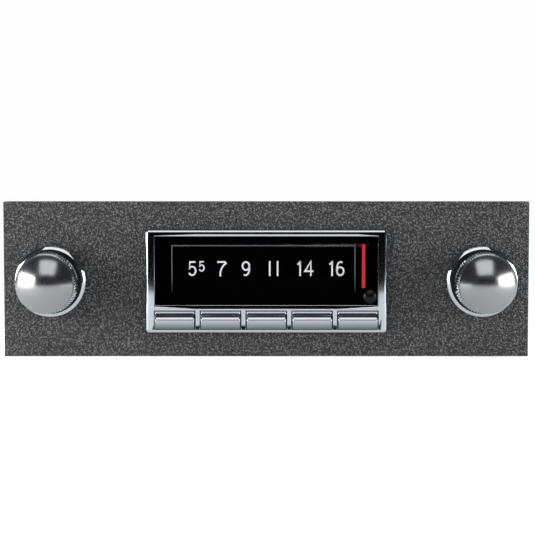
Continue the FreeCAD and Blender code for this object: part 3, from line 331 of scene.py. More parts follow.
nylon = moulded("nylon", (0.78, 0.76, 0.68), 0.42, 4e-6)
former_plastic = moulded("former_plastic", (0.66, 0.54, 0.33), 0.46, 5e-6)
phenolic = moulded("phenolic", (0.018, 0.017, 0.017), 0.34, 8e-6)
black_anodised = moulded("black_anodised", (0.022, 0.022, 0.024), 0.40, 1e-5)
red_enamel = moulded("red_enamel", (0.44, 0.009, 0.018), 0.30, 0.0, 0.5)
dial_black = moulded("dial_black", (0.0010, 0.0010, 0.0013), 0.8, specular=0.0)
jewel_black = moulded("jewel_black", (0.004, 0.004, 0.005), 0.08, specular=0.14)
ferrite = moulded("ferrite", (0.05, 0.05, 0.055), 0.5, 2e-5)
waxed_paper = moulded("waxed_paper", (0.55, 0.42, 0.20), 0.5, 1e-5, 0.2, 0.35)
component_blue = moulded("component_blue", (0.05, 0.10, 0.22), 0.36, 0.0, 0.4)
iron_stack = laminated("iron_stack")
copper_winding = wound("copper_winding", (0.80, 0.36, 0.16), (0.24, 0.07, 0.03), 0.25 * MM)
# painted glow: the red enamel of the dial pointer is given a faint red emission, though it is no lamp
enamel = red_enamel.node_tree.nodes["Principled BSDF"].inputs
enamel["Emission Color"].default_value = tone(0.60, 0.010, 0.018)
enamel["Emission Strength"].default_value = 0.20
# near-black finish for the rings' recesses, a painted shade
painted_recess_shade = moulded("painted_recess_shade", (0.004, 0.004, 0.004), 0.55)
print("plastics and windings")


# %% Circuit board
def laminate(name):
    """Phenolic board: brown, with a paper mottle and lighter fibres."""
    finish = Finish(name)
    mottle = finish.noise(900.0, 5.0, (1.0, 0.2, 1.0))
    broad = finish.noise(60.0, 2.0)
    shade = finish.blend(mottle, tone(0.19, 0.085, 0.025), tone(0.34, 0.18, 0.065))
    finish.set(Base_Color=finish.blend(broad * 0.4, shade, tone(0.22, 0.11, 0.035)))
    finish.set(Roughness=0.34 + mottle * 0.15, Normal=finish.relief(mottle, 6e-6, 0.5))
    return finish.material


board_brown = laminate("board_brown")
print("board")

# %% [markdown]
# ## Clear parts
# The lens is a flat clear plate over a black dial. A full glass shader would bend the light through both
# faces and leave the dial behind it noisy and dark, so it is made as what the eye sees: a clear sheet
# that lets light straight through, with a mirror over it that grows stronger towards the edges, by
# Fresnel's law. Seen from the side, it still shows bright specks over the matt dial.

# %% Lens and lamp glass
def clear(name, tint, roughness, index, base):
    """A clear sheet: base is the share of mirror seen straight on, which its backing shows instead."""
    finish = Finish(name)
    tree = finish.tree
    through = finish.add("BsdfTransparent", {}, {"Color": tone(*tint)})
    haze = finish.noise(180.0, 3.0)
    gloss = {"Color": tone(0.95, 0.97, 1.0), "Roughness": roughness + haze * 0.01}
    mirror = finish.add("BsdfGlossy", {}, gloss)
    edge = finish.out(finish.add("Fresnel", {}, {"IOR": index})) - base
    front = 1.0 - finish.out(finish.add("NewGeometry"), "Backfacing")
    share = edge.math("MAXIMUM", edge, 0.0) * front
    mix = finish.add("MixShader", {}, {0: share, 1: finish.out(through), 2: finish.out(mirror)})
    tree.links.new(mix.outputs[0], tree.nodes["Material Output"].inputs["Surface"])
    tree.nodes.remove(finish.shader)
    return finish.material


lens_clear = clear("lens_clear", (0.97, 0.975, 0.98), 0.006, 1.3, 0.018)
lamp_glass = clear("lamp_glass", (0.96, 0.93, 0.85), 0.01, 1.45, 0.0)
print("clear parts")

# %% [markdown]
# ## The grained panel
# The fascia is taken to be covered in black leather-cloth vinyl of the kind used on cameras and
# dashboards. Its grain is a crust of small rounded pebbles about a millimetre across, with finer wrinkles
# on them, and each pebble catches its own spark of light. Two sizes of pebble and a soft noise build its
# height, and the tops of that height are painted paler than the valleys: a painted highlight on each
# pebble and painted shade between them.

# %% Grained vinyl
def grained(name):
    finish = Finish(name)
    wander = finish.noise(1200.0, 3.0, roughness=0.6)
    pebbles = finish.cells(1350.0)
    small = finish.cells(2300.0)
    height = (1.0 - pebbles) * 0.8 + (1.0 - small) * 0.5 + wander * 1.3
    # painted highlight and painted shade: the pebble tops are coloured pale grey and the valleys near black
    lift = height.above(1.46, 0.24)
    shade = finish.blend(lift, tone(0.003, 0.003, 0.004), tone(0.205, 0.207, 0.213))
    finish.set(
        Base_Color=shade,
        Roughness=0.40 + (1.0 - lift) * 0.25,
        Normal=finish.relief(height, 1.3e-3, 1.0),
    )
    finish.set(Specular_IOR_Level=0.6)
    return finish.material


panel_vinyl = grained("panel_vinyl")
print("vinyl")

# %% [markdown]
# ## One finish for each slot
# Every CAD node names the material slot that it is made of. This table gives each slot its finish, so
# that a node that keeps its CAD shape gets a worked surface too, and new pieces look their finish up in
# the same place.

# %% Dress every node
finish_of = {
    "panel_grain": panel_vinyl,
    "bezel_chrome": bright_chrome,
    "lens_clear": lens_clear,
    "dial_black": dial_black,
    "jewel_dark": jewel_black,
    "button_chrome": button_chrome,
    "slide_steel": zinc_strip,
    "spring_steel": turned_steel,
    "knob_chrome": knob_chrome,
    "ring_chrome": bright_chrome,
    "shaft_steel": turned_steel,
    "sleeve_brass": brass,
    "nut_nickel": nickel,
    "control_can": drawn_aluminium,
    "chassis_zinc": zinc_sheet,
    "cover_zinc": zinc_sheet,
    "screw_zinc": nickel,
    "tuner_steel": zinc_strip,
    "gear_brass": brass,
    "gear_nylon": nylon,
    "pointer_red": red_enamel,
    "ferrite": ferrite,
    "former_plastic": former_plastic,
    "winding_copper": copper_winding,
    "lamp_glass": lamp_glass,
    "socket_steel": nickel,
    "board_laminate": board_brown,
    "can_aluminium": drawn_aluminium,
    "component_body": component_blue,
    "transformer_iron": iron_stack,
    "coil_paper": waxed_paper,
    "sink_black": black_anodised,
    "transistor_nickel": nickel,
    "connector_black": phenolic,
    "socket_nickel": nickel,
    "bracket_zinc": yellow_zinc,
}
for node, item in frame["nodes"].items():
    item.data.materials.clear()
    item.data.materials.append(finish_of[slot_of[node]])
print(len(finish_of), "slots dressed")

# %% [markdown]
# ## Helpers for new pieces
# A new piece is a mesh in the frame's own coordinates. One helper turns a finished bmesh into an object
# that rides on a body, stands for its CAD node and takes its slot's finish. Another turns a profile about
# a shaft, and a third gives the points of an arc for such a profile.

# %% Piece helpers
def add_piece(name, mesh, node, finish=None, replaces=True, smooth=True):
    """Makes the object, smooths it by angle, gives it its finish and parents it to its node's body."""
    bmesh.ops.remove_doubles(mesh, verts=mesh.verts, dist=1e-7)
    bmesh.ops.recalc_face_normals(mesh, faces=mesh.faces)
    data = bpy.data.meshes.new(name)
    mesh.to_mesh(data)
    mesh.free()
    if smooth:
        data.shade_smooth()
        data.set_sharp_from_angle(angle=math.radians(32))
    piece = bpy.data.objects.new(name, data)
    bpy.context.scene.collection.objects.link(piece)
    data.materials.append(finish or finish_of[slot_of[node]])
    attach(piece, body_of[node])
    if replaces:
        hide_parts(node)
    return piece


def spun(profile, x, z, steps=128):
    """A mesh turned about a shaft along Y at (x, z), from (radius, y) points."""
    mesh = bmesh.new()
    verts = [mesh.verts.new((x + radius, y, z)) for radius, y in profile]
    edges = [mesh.edges.new(pair) for pair in zip(verts, verts[1:])]
    bmesh.ops.spin(
        mesh,
        geom=verts + edges,
        cent=(x, 0.0, z),
        axis=(0.0, 1.0, 0.0),
        angle=2 * math.pi,
        steps=steps,
        use_merge=True,
    )
    bmesh.ops.remove_doubles(mesh, verts=mesh.verts, dist=1e-7)
    return mesh


def arc(centre, radius, start, end, steps):
    """Points (radius from the shaft, y) on an arc; angles in degrees, 0 outwards and 90 to the rear."""
    points = []
    for step in range(steps + 1):
        angle = math.radians(start + (end - start) * step / steps)
        points.append((centre[0] + radius * math.cos(angle), centre[1] + radius * math.sin(angle)))
    return points


print("helpers ready")

# %% [markdown]
# ## Plates and rings with rounded corners
# The bezel is a casting: a face plate pierced by one wide opening and five small ones, with a raised lip
# round the dial. A plate with holes could be cut with booleans, but those leave ragged edges that don't
# bevel well. Here a single face is split along the edges of its openings, the faces in the openings are
# deleted, and the rest is given its thickness, so that every edge is clean.

# %% Sheet and ring helpers
def sheet_face(mesh, across, up, y):
    """One face in the XZ plane, looking towards -Y."""
    made = bmesh.ops.create_grid(mesh, x_segments=1, y_segments=1, size=0.5)["verts"]
    place = (
        Matrix.Translation(((across[0] + across[1]) / 2, y, (up[0] + up[1]) / 2))
        @ Matrix.Diagonal((across[1] - across[0], 1.0, up[1] - up[0], 1.0))
        @ Matrix.Rotation(math.pi / 2, 4, "X")
    )
    bmesh.ops.transform(mesh, matrix=place, verts=made)
    return made


def cut_lines(mesh, places, axis):
    """Cuts the whole mesh at each place along an axis."""
    for place in places:
        spot = Vector((0.0, 0.0, 0.0))
        spot[axis] = place
        normal = Vector((0.0, 0.0, 0.0))
        normal[axis] = 1.0
        everything = mesh.verts[:] + mesh.edges[:] + mesh.faces[:]
        bmesh.ops.bisect_plane(mesh, geom=everything, dist=1e-7, plane_co=spot, plane_no=normal)


def pull_back(mesh, faces, depth):
    """Gives faces a thickness towards +Y and returns the new faces."""
    made = bmesh.ops.extrude_face_region(mesh, geom=faces, use_keep_orig=True)["geom"]
    verts = [item for item in made if isinstance(item, bmesh.types.BMVert)]
    bmesh.ops.translate(mesh, vec=(0.0, depth, 0.0), verts=verts)
    return made


def front_edges(mesh, y, test=None):
    """Edges at a depth where the front meets a wall."""
    chosen = []
    for edge in mesh.edges:
        flat = all(abs(vert.co.y - y) < 1e-6 for vert in edge.verts)
        if flat and len(edge.link_faces) == 2 and edge.calc_face_angle(0.0) > 0.5:
            if test is None or test((edge.verts[0].co + edge.verts[1].co) / 2):
                chosen.append(edge)
    return chosen


def bevel(mesh, edges, offset, segments=3):
    return bmesh.ops.bevel(
        mesh,
        geom=edges,
        offset=offset,
        segments=segments,
        profile=0.5,
        affect="EDGES",
        material=-1,
        clamp_overlap=True,
    )


def pierced_plate(across, up, openings, y, depth, corner, edge, hole_edge):
    """A plate with square openings, round corners outside and bevelled front edges."""
    mesh = bmesh.new()
    sheet_face(mesh, across, up, y)
    cut_lines(mesh, sorted({side for opening in openings for side in opening[0]}), 0)
    cut_lines(mesh, sorted({side for opening in openings for side in opening[1]}), 2)
    spare = []
    for face in mesh.faces:
        spot = face.calc_center_median()
        for x_span, z_span in openings:
            if x_span[0] < spot.x < x_span[1] and z_span[0] < spot.z < z_span[1]:
                spare.append(face)
    bmesh.ops.delete(mesh, geom=spare, context="FACES")
    pull_back(mesh, mesh.faces[:], depth)
    bmesh.ops.recalc_face_normals(mesh, faces=mesh.faces)

    def outside(spot):
        near_x = min(abs(spot.x - across[0]), abs(spot.x - across[1])) < 1e-6
        return near_x or min(abs(spot.z - up[0]), abs(spot.z - up[1])) < 1e-6

    def corner_edge(item):
        ends = [vert.co for vert in item.verts]
        along = abs(ends[0].y - ends[1].y) > 1e-6
        at_x = min(abs(ends[0].x - across[0]), abs(ends[0].x - across[1])) < 1e-6
        return along and at_x and min(abs(ends[0].z - up[0]), abs(ends[0].z - up[1])) < 1e-6

    bevel(mesh, [item for item in mesh.edges if corner_edge(item)], corner, 6)
    reach = corner * 1.05

    def rim(spot):
        return outside(spot) or (
            min(abs(spot.x - across[0]), abs(spot.x - across[1])) < reach
            and min(abs(spot.z - up[0]), abs(spot.z - up[1])) < reach
        )

    bevel(mesh, front_edges(mesh, y, rim), edge, 4)
    bevel(mesh, front_edges(mesh, y), hole_edge, 2)
    return mesh


def frame_ring(across, up, width, y, depth, corner, edge, segments=3):
    """A rectangular ring with round corners, width wide from its outside, bevelled on both front edges."""
    mesh = bmesh.new()
    made = sheet_face(mesh, across, up, y)
    bmesh.ops.bevel(
        mesh,
        geom=made,
        offset=corner,
        segments=6,
        profile=0.5,
        affect="VERTICES",
        material=-1,
        clamp_overlap=True,
    )
    inner = bmesh.ops.inset_region(mesh, faces=mesh.faces[:], thickness=width, use_even_offset=True)
    ring = set(inner["faces"])
    bmesh.ops.delete(mesh, geom=[face for face in mesh.faces if face not in ring], context="FACES")
    pull_back(mesh, mesh.faces[:], depth)
    bmesh.ops.recalc_face_normals(mesh, faces=mesh.faces)
    if edge:
        bevel(mesh, front_edges(mesh, y), edge, segments)
    return mesh


def poured_in(target, *others):
    """Adds other meshes to the first one."""
    for other in others:
        data = bpy.data.meshes.new("scratch")
        other.to_mesh(data)
        other.free()
        target.from_mesh(data)
        bpy.data.meshes.remove(data)
    return target


print("plate helpers ready")

# %% [markdown]
# ## The chrome bezel
# From its rim inwards the casting has a broad rounded bevel, a flat band, and a narrow raised lip that
# holds the lens. Under the lens the five button windows are open right through, with walls as deep as the
# casting. The three parts of the front each catch a different part of the room, which is what makes the
# casting read as deep.

# %% Bezel
bezel_front = bezel_low.y
LIP = 1.0 * MM
WINDOW_HALF = 8.6 * MM
WINDOW_ROOM = 0.3 * MM
COLLAR_WALL = 0.8 * MM
COLLAR_HALF_WIDTH = 48.9 * MM + COLLAR_WALL
COLLAR_HALF_HEIGHT = 21.0 * MM
buttons = [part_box(f"button_{number}") for number in range(1, 6)]
window_z = (buttons[0][0].z - WINDOW_ROOM, buttons[0][1].z + WINDOW_ROOM)
lens_x = (lens_low.x + 1.1 * MM, lens_high.x - 1.1 * MM)
lens_z = (lens_low.z + 0.8 * MM, lens_high.z - 0.2 * MM)
centres = [(low.x + high.x) / 2 for low, high in buttons]
openings = [(lens_x, lens_z)] + [((x - WINDOW_HALF, x + WINDOW_HALF), window_z) for x in centres]
outline = ((bezel_low.x, bezel_high.x), (bezel_low.z, bezel_high.z))
plate = pierced_plate(
    *outline,
    openings,
    y=bezel_front + 0.45 * MM,
    depth=2.55 * MM,
    corner=1.4 * MM,
    edge=1.5 * MM,
    hole_edge=0.22 * MM,
)
lip_x = (lens_x[0] - LIP, lens_x[1] + LIP)
lip_z = (lens_z[0] - LIP, lens_z[1] + LIP)
lip_y = bezel_front + 0.02 * MM
lip = frame_ring(lip_x, lip_z, LIP, lip_y, depth=1.45 * MM, corner=1.5 * MM, edge=0.44 * MM, segments=5)
collar_x = (-COLLAR_HALF_WIDTH, COLLAR_HALF_WIDTH)
mid_z = (bezel_low.z + bezel_high.z) / 2
collar_z = (mid_z - COLLAR_HALF_HEIGHT, mid_z + COLLAR_HALF_HEIGHT)
collar_y = bezel_front + 3.0 * MM
collar = frame_ring(collar_x, collar_z, COLLAR_WALL, collar_y, depth=8.0 * MM, corner=0.5 * MM, edge=0.0)
add_piece("bezel_casting", poured_in(plate, lip, collar), "bezel")
print("bezel front at", round(bezel_front, 5), "openings", len(openings))

# %% [markdown]
# ## The pushbuttons
# Each button is a bar of chromed zinc. Seen from the end it has a deep hollow brow on top, a round crown
# at the front and a face that leans back a little below it, and its ends are chamfered, so that the
# bright line along the crown turns down at both ends. That section is drawn once and extruded along the
# button's length.

# %% Button section
BROW = [(2.05, 0.0), (2.15, 0.55), (2.12, 0.85), (1.90, 1.08), (1.66, 1.32), (1.40, 1.56)]
BROW += [(1.12, 1.80), (0.86, 2.04), (0.62, 2.28)]
CROWN = [(0.42, 2.50), (0.28, 2.70), (0.17, 2.92), (0.09, 3.14), (0.04, 3.32), (0.02, 3.48)]
FACE = [(0.04, 3.68), (0.11, 4.20), (0.22, 4.90), (0.36, 5.70), (0.52, 6.50), (0.70, 7.20)]
END_CHAMFER = 0.62 * MM


def button_section(top, front, back):
    """(y, z) points: back, down the hollow brow to the crown, and down the leaning face."""
    points = [(back, top)]
    points += [(front + deep * MM, top - down * MM) for deep, down in BROW + CROWN + FACE]
    points.append((back, top - FACE[-1][1] * MM))
    return points


def pushbutton(number):
    low, high = buttons[number]
    mesh = bmesh.new()
    section = button_section(high.z, low.y, high.y)
    verts = [mesh.verts.new((low.x, y, z)) for y, z in section]
    face = mesh.faces.new(verts)
    made = bmesh.ops.extrude_face_region(mesh, geom=[face], use_keep_orig=True)["geom"]
    moved = [item for item in made if isinstance(item, bmesh.types.BMVert)]
    bmesh.ops.translate(mesh, vec=(high.x - low.x, 0.0, 0.0), verts=moved)
    bmesh.ops.recalc_face_normals(mesh, faces=mesh.faces)
    root = high.y - 1.2 * MM
    ends = []
    for edge in mesh.edges:
        first, second = (vert.co for vert in edge.verts)
        if abs(first.x - second.x) < 1e-7 and first.y < root:
            ends.append(edge)
    bevel(mesh, ends, END_CHAMFER, 4)
    return add_piece(f"button_bar_{number + 1}", mesh, f"button_{number + 1}")


for number in range(5):
    pushbutton(number)
print("button section of", len(button_section(0.0, 0.0, 5.8 * MM)), "points")

# %% [markdown]
# ## Knobs
# A knob is turned from brass and plated: a polished dome, and behind its shoulder a barrel and a skirt
# milled with fine flutes for the fingers. The body is one profile spun about the shaft. The flutes could
# be a bump, but their edges give the sparkle behind the dome, so the points of the barrel are drawn in
# towards the shaft by a cosine.

# %% Domed knobs
FLUTES = 64
FLUTE_DEPTH = 0.42 * MM
CROWN_RISE = 5.8 * MM


def domed_knob(node):
    low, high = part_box(node)
    x = (low.x + high.x) / 2
    z = (low.z + high.z) / 2
    skirt = (high.x - low.x) / 2
    dome = skirt - 0.7 * MM
    rear = high.y
    skirt_front = rear - 5.6 * MM
    shoulder = low.y + CROWN_RISE
    ball = (dome**2 + CROWN_RISE**2) / (2 * CROWN_RISE)
    slope = math.degrees(math.asin((dome - 0.3 * MM) / ball))
    profile = [(0.0, low.y)] + arc((0.0, low.y + ball), ball, -89.5, -90.0 + slope, 36)
    profile += [(dome - 0.1 * MM, shoulder - 0.05 * MM)]
    profile += [(dome, shoulder + 0.15 * MM), (dome, shoulder + 0.8 * MM)]
    profile += [(dome - 0.25 * MM, shoulder + 1.0 * MM), (dome - 0.25 * MM, shoulder + 1.2 * MM)]
    profile += [(dome + 0.3 * MM, shoulder + 1.5 * MM), (dome + 0.3 * MM, skirt_front - 0.2 * MM)]
    profile += [(skirt, skirt_front + 0.3 * MM), (skirt, rear - 0.5 * MM), (skirt - 0.4 * MM, rear)]
    profile += [(dome - 1.6 * MM, rear), (dome - 1.6 * MM, rear - 4.0 * MM), (3.05 * MM, rear - 4.0 * MM)]
    mesh = spun(profile, x, z, FLUTES * 4)
    for vert in mesh.verts:
        out = Vector((vert.co.x - x, 0.0, vert.co.z - z))
        if out.length > dome + 0.2 * MM:
            cut = FLUTE_DEPTH * (0.5 + 0.5 * math.cos(math.atan2(out.z, out.x) * FLUTES))
            vert.co -= out.normalized() * cut
    piece = add_piece(node + "_turned", mesh, node)
    piece.data.materials.append(bright_chrome)
    for face in piece.data.polygons:
        if face.center.y > shoulder + 0.9 * MM:
            face.material_index = 1
    return piece


for node in ("volume_knob", "tuning_knob"):
    domed_knob(node)
print("knob flutes", FLUTES)

# %% [markdown]
# ## The rings behind the knobs
# Each ring is a separate control: it turns on a hollow shaft outside the knob's own. Its rim is a bright
# rounded band with a fine step turned into it, and its floor lies back with a near-black painted shade on
# it and its inner wall, so that the knob seems to float in a black gap. One profile is spun for both.

# %% Control rings
def control_ring(node):
    low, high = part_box(node)
    x = (low.x + high.x) / 2
    z = (low.z + high.z) / 2
    rim = (high.x - low.x) / 2
    front = low.y + 0.6 * MM
    rear = high.y
    inner = rim - 1.5 * MM
    profile = [(inner, rear), (rim, rear), (rim, front + 1.7 * MM), (rim - 0.2 * MM, front + 1.55 * MM)]
    profile += [(rim - 0.2 * MM, front + 1.3 * MM), (rim, front + 1.15 * MM)]
    profile += [(rim, front + 0.9 * MM), (rim - 0.05 * MM, front + 0.74 * MM)]
    profile += [(rim - 0.2 * MM, front + 0.6 * MM)]
    profile += [(rim - 0.6 * MM, front + 0.33 * MM), (inner + 0.45 * MM, front + 0.09 * MM)]
    profile += [(inner + 0.22 * MM, front + 0.02 * MM), (inner + 0.06 * MM, front + 0.05 * MM)]
    profile += [(inner, front + 0.2 * MM)]
    profile += [(inner, front + 0.9 * MM), (inner, front + 1.0 * MM), (6.5 * MM, front + 1.0 * MM)]
    profile += [(6.5 * MM, front - 0.5 * MM), (6.3 * MM, front - 0.6 * MM), (4.05 * MM, front - 0.6 * MM)]
    profile += [(4.05 * MM, front + 2.2 * MM), (inner, front + 2.2 * MM), (inner, rear)]
    mesh = spun(profile, x, z, 160)
    piece = add_piece(node + "_turned", mesh, node)
    # painted shade: the inner wall and floor of the ring's recess take the near-black finish
    piece.data.materials.append(painted_recess_shade)
    for face in piece.data.polygons:
        spot = Vector((face.center.x - x, face.center.z - z))
        if spot.length < inner + 0.15 * MM and face.center.y > front + 0.6 * MM:
            face.material_index = 1
    return piece


for node in ("tone_ring", "fader_ring"):
    control_ring(node)

# %% [markdown]
# ## The scale
# The numbers stand for hundreds of kilocycles, and the small raised 5 makes the first one 55. They are
# taken to be printed on the inside of the lens in a thin even stroke. A font would need a file, so each
# figure is drawn as the path of a pen of one width, with straight runs and parts of an ellipse, and each
# run becomes a thin solid stroke.

# %% Pen strokes
PRINT_DEPTH = 0.08 * MM


def bow(centre, across, tall, start, end, steps=18):
    """Points on part of an ellipse, angles in degrees, anticlockwise from the right."""
    points = []
    for step in range(steps + 1):
        angle = math.radians(start + (end - start) * step / steps)
        points.append((centre[0] + across * math.cos(angle), centre[1] + tall * math.sin(angle)))
    return points


def pen(mesh, path, width, y):
    """Draws one path as flat strokes with mitred joints."""
    rows = []
    last = len(path) - 1
    for number, spot in enumerate(path):
        before = Vector(path[max(number - 1, 0)])
        after = Vector(path[min(number + 1, last)])
        here = Vector(spot)
        into = (here - before).normalized() if number else (after - here).normalized()
        out = (after - here).normalized() if number < last else into
        along = (into + out).normalized()
        side = Vector((-along.y, along.x)) * (width / 2 / max(along.dot(into), 0.5))
        sides = ((spot[0] + sign * side.x, y, spot[1] + sign * side.y) for sign in (1, -1))
        rows.append([mesh.verts.new(point) for point in sides])
    faces = [mesh.faces.new((a[0], a[1], b[1], b[0])) for a, b in zip(rows, rows[1:])]
    pull_back(mesh, faces, PRINT_DEPTH)


# %% Figures in a box 6.9 mm tall
FIGURES = {
    "1": [[(0.35, 5.35), (1.15, 5.75), (1.62, 6.85)], [(1.62, 6.85), (1.62, 0.05)]],
    "|": [[(0.42, 6.85), (0.42, 0.05)]],
    "4": [[(3.05, 0.05), (3.05, 6.75), (0.38, 2.25), (4.25, 2.25)]],
    "5": [[(3.45, 6.45), (0.95, 6.45), (0.68, 3.45)] + bow((1.92, 2.38), 1.62, 1.95, 138, -152)],
    "6": [
        bow((2.0, 2.25), 1.55, 1.85, 0, 360, 28),
        [(0.47, 2.55)] + bow((2.15, 3.55), 1.70, 2.92, 185, 62, 16),
    ],
    "7": [[(0.35, 6.45), (3.85, 6.45)] + bow((6.6, 0.6), 4.9, 5.9, 118, 187, 10)],
    "9": [
        bow((2.0, 4.62), 1.55, 1.85, 0, 360, 28),
        [(3.53, 4.32)] + bow((1.85, 3.32), 1.70, 2.92, 5, -118, 16),
    ],
}


def draw_figure(mesh, name, x, z, scale, weight):
    for path in FIGURES[name]:
        placed = [(x + px * MM * scale, z + pz * MM * scale) for px, pz in path]
        pen(mesh, placed, weight, print_y)


print_y = lens_high.y + 0.02 * MM
scale_mid = (lens_low.x + lens_high.x) / 2
base_z = lens_low.z + 12.8 * MM
mesh = bmesh.new()
WEIGHT = 0.66 * MM
SCALE = 0.92
for name, left in (("5", -32.9), ("7", -20.9), ("9", -10.4), ("|", 1.05), ("|", 4.35)):
    draw_figure(mesh, name, scale_mid + left * MM, base_z, SCALE, WEIGHT)
for name, left in (("1", 12.7), ("4", 15.9), ("1", 26.1), ("6", 29.2)):
    draw_figure(mesh, name, scale_mid + left * MM, base_z, SCALE, WEIGHT)
draw_figure(mesh, "5", scale_mid - 28.4 * MM, base_z + 1.9 * MM, 0.64, WEIGHT * 0.8)
figures = mesh
print("figures drawn", len(figures.verts), "points")


# %% White ink and grey line
def white_ink():
    finish = Finish("white_ink")
    cloud = finish.noise(900.0, 3.0)
    shade = finish.blend(cloud, tone(0.50, 0.50, 0.50), tone(0.60, 0.60, 0.60))
    # painted glow: the printed figures give off a faint light in their own colour, though the print is no
    # lamp
    finish.set(Base_Color=shade, Roughness=0.5 + cloud * 0.1, Emission_Color=shade)
    finish.set(Emission_Strength=0.20)
    return finish.material


def grey_line():
    """A thin grey line that fades out towards the foot of the scale."""
    finish = Finish("grey_line")
    place = finish.add("SeparateXYZ", {}, {0: finish.place})
    fade = finish.out(place, "Z").above(lens_low.z + 11.0 * MM, 4.5 * MM)
    shade = finish.blend(fade, tone(0.003, 0.003, 0.004), tone(0.11, 0.11, 0.115))
    finish.set(Base_Color=shade, Roughness=0.5)
    return finish.material


add_piece("scale_figures", figures, "lens", white_ink(), replaces=False, smooth=False)
mesh = bmesh.new()
left_x = scale_mid - 39.6 * MM
right_x = scale_mid + 37.2 * MM
foot_z = lens_low.z + 6.2 * MM
head_z = lens_high.z - 4.2 * MM
pen(mesh, [(left_x, foot_z), (left_x, head_z), (right_x, head_z), (right_x, foot_z)], 0.34 * MM, print_y)
add_piece("scale_border", mesh, "lens", grey_line(), replaces=False, smooth=False)
print("scale printed at y =", round(print_y, 5))

# %% [markdown]
# ## The pilot jewel
# A small dark bead sits in the corner of the lens. It is a low dome in a short stem, and it needs enough
# segments for its tiny highlights to stay round.

# %% Jewel
jewel_low, jewel_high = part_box("pilot_jewel")
jewel_x = (jewel_low.x + jewel_high.x) / 2
jewel_z = (jewel_low.z + jewel_high.z) / 2
jewel_r = (jewel_high.x - jewel_low.x) / 2
rise = 0.9 * MM
ball = (jewel_r**2 + rise**2) / (2 * rise)
tip = math.degrees(math.asin(jewel_r / ball))
profile = [(0.0, jewel_low.y)] + arc((0.0, jewel_low.y + ball), ball, -89.0, -90.0 + tip, 12)
profile += [(jewel_r, jewel_high.y), (0.0, jewel_high.y)]
add_piece("pilot_bead", spun(profile, jewel_x, jewel_z, 64), "pilot_jewel")
print("jewel radius", round(jewel_r / MM, 2), "mm")

# %% [markdown]
# ## The studio
# The floor is a pale sheet that stops a little way in front of the radio. Flat chrome looks past its
# front edge into the dark part of the room, which is why it is dark above and light below. Two large soft
# lights stand at the ends, and a wide one hangs overhead: their reflections draw the knobs and the
# bevels.

# %% Floor
def pale_floor():
    finish = Finish("pale_floor")
    cloud = finish.noise(6.0, 3.0)
    shade = finish.blend(cloud, tone(0.86, 0.86, 0.87), tone(0.90, 0.90, 0.90))
    finish.set(Base_Color=shade, Roughness=0.7, Emission_Color=shade, Emission_Strength=0.55)
    return finish.material


FLOOR_FRONT = face_y - 0.36
FLOOR_DEPTH = 0.9
FLOOR_HALF_WIDTH = 1.6
mesh = bmesh.new()
bmesh.ops.create_grid(mesh, x_segments=4, y_segments=4, size=1.0)
bmesh.ops.scale(mesh, vec=(FLOOR_HALF_WIDTH, FLOOR_DEPTH / 2, 1.0), verts=mesh.verts)
bmesh.ops.translate(mesh, vec=(0.0, FLOOR_FRONT + FLOOR_DEPTH / 2, 0.0), verts=mesh.verts)
data = bpy.data.meshes.new("floor")
mesh.to_mesh(data)
mesh.free()
floor = bpy.data.objects.new("floor", data)
data.materials.append(pale_floor())
bpy.context.scene.collection.objects.link(floor)
print("floor from y =", round(FLOOR_FRONT, 3))


# %% Lights
def soft_light(name, place, target, size, power, shaded=()):
    """A rectangular softbox that faces its target. Shaded pieces do not see it, as behind a black flag."""
    data = bpy.data.lights.new(name, "AREA")
    data.shape = "RECTANGLE"
    data.size, data.size_y = size
    data.energy = power
    lamp = bpy.data.objects.new(name, data)
    lamp.location = place
    lamp.rotation_euler = (Vector(target) - Vector(place)).to_track_quat("-Z", "Y").to_euler()
    lamp.visible_camera = False
    bpy.context.scene.collection.objects.link(lamp)
    if shaded:
        flag = bpy.data.collections.new(name + "_flag")
        lamp.light_linking.receiver_collection = flag
        for piece_name in shaded:
            flag.objects.link(bpy.data.objects[piece_name])
        for item in flag.collection_objects:
            item.light_linking.link_state = "EXCLUDE"


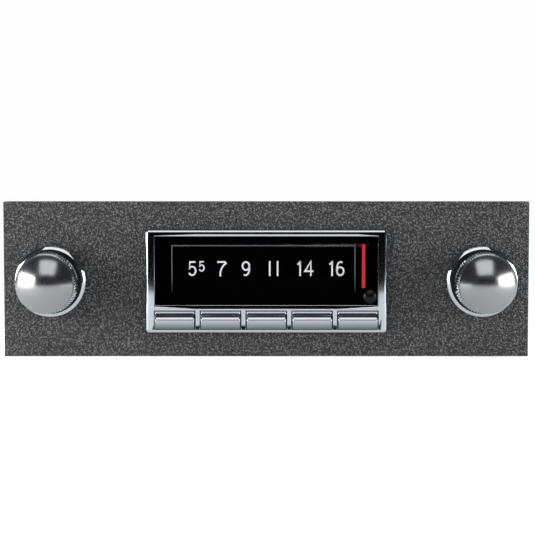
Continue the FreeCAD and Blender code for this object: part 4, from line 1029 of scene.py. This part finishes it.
middle = (0.0, face_y, 0.035)
shade_from_right = ("volume_knob_turned", "bezel_casting", "chassis_frame")
shade_from_left = ("tuning_knob_turned", "chassis_frame")
soft_light("left_box", (-0.41, face_y - 0.17, 0.090), middle, (0.40, 0.17), 2.3, shade_from_left)
soft_light("right_box", (0.41, face_y - 0.17, 0.090), middle, (0.40, 0.17), 1.4, shade_from_right)
soft_light("top_box", (0.0, face_y - 0.62, 0.85), middle, (0.85, 0.95), 4.8)
soft_light("rear_box", (0.0, 0.9, 1.1), (0.0, 0.0, 0.0), (1.6, 0.9), 4.5)

# %% [markdown]
# The room itself is pale to the camera, like a paper sweep. To the chrome it is a dim grey room, and
# darkest straight in front of the radio, where the viewer stands: that is the black that flat chrome
# shows.

# %% Room
world = bpy.data.worlds.new("room")
bpy.context.scene.world = world
world.use_nodes = True
tree = world.node_tree


def room_node(kind, settings=None, links=None):
    node = tree.nodes.new("ShaderNode" + kind)
    for name, value in (settings or {}).items():
        setattr(node, name, value)
    for name, value in (links or {}).items():
        if isinstance(value, bpy.types.NodeSocket):
            tree.links.new(value, node.inputs[name])
        else:
            node.inputs[name].default_value = value
    return node


way = room_node("SeparateXYZ", {}, {0: room_node("TexCoord").outputs["Generated"]})
ahead = room_node("MapRange", {"interpolation_type": "SMOOTHSTEP"}, {0: way.outputs["Y"], 1: -0.97, 2: -0.70})
dim_room = room_node("Mix", {"data_type": "RGBA"}, {0: ahead.outputs[0], 6: (0.006, 0.006, 0.007, 1.0)})
dim_room.inputs[7].default_value = (0.06, 0.06, 0.063, 1.0)
behind = room_node("MapRange", {"interpolation_type": "SMOOTHSTEP"}, {0: way.outputs["Y"], 1: -0.1, 2: 0.6})
whole_room = room_node("Mix", {"data_type": "RGBA"}, {0: behind.outputs[0], 6: dim_room.outputs[2]})
whole_room.inputs[7].default_value = (0.42, 0.42, 0.43, 1.0)
paths = room_node("LightPath")
seen = room_node("Mix", {"data_type": "RGBA"}, {0: paths.outputs["Is Camera Ray"], 6: whole_room.outputs[2]})
seen.inputs[7].default_value = (0.99, 0.99, 1.0, 1.0)
tree.links.new(seen.outputs[2], tree.nodes["Background"].inputs["Color"])
view = bpy.context.scene.view_settings
view.view_transform = "Standard"
print("room set")
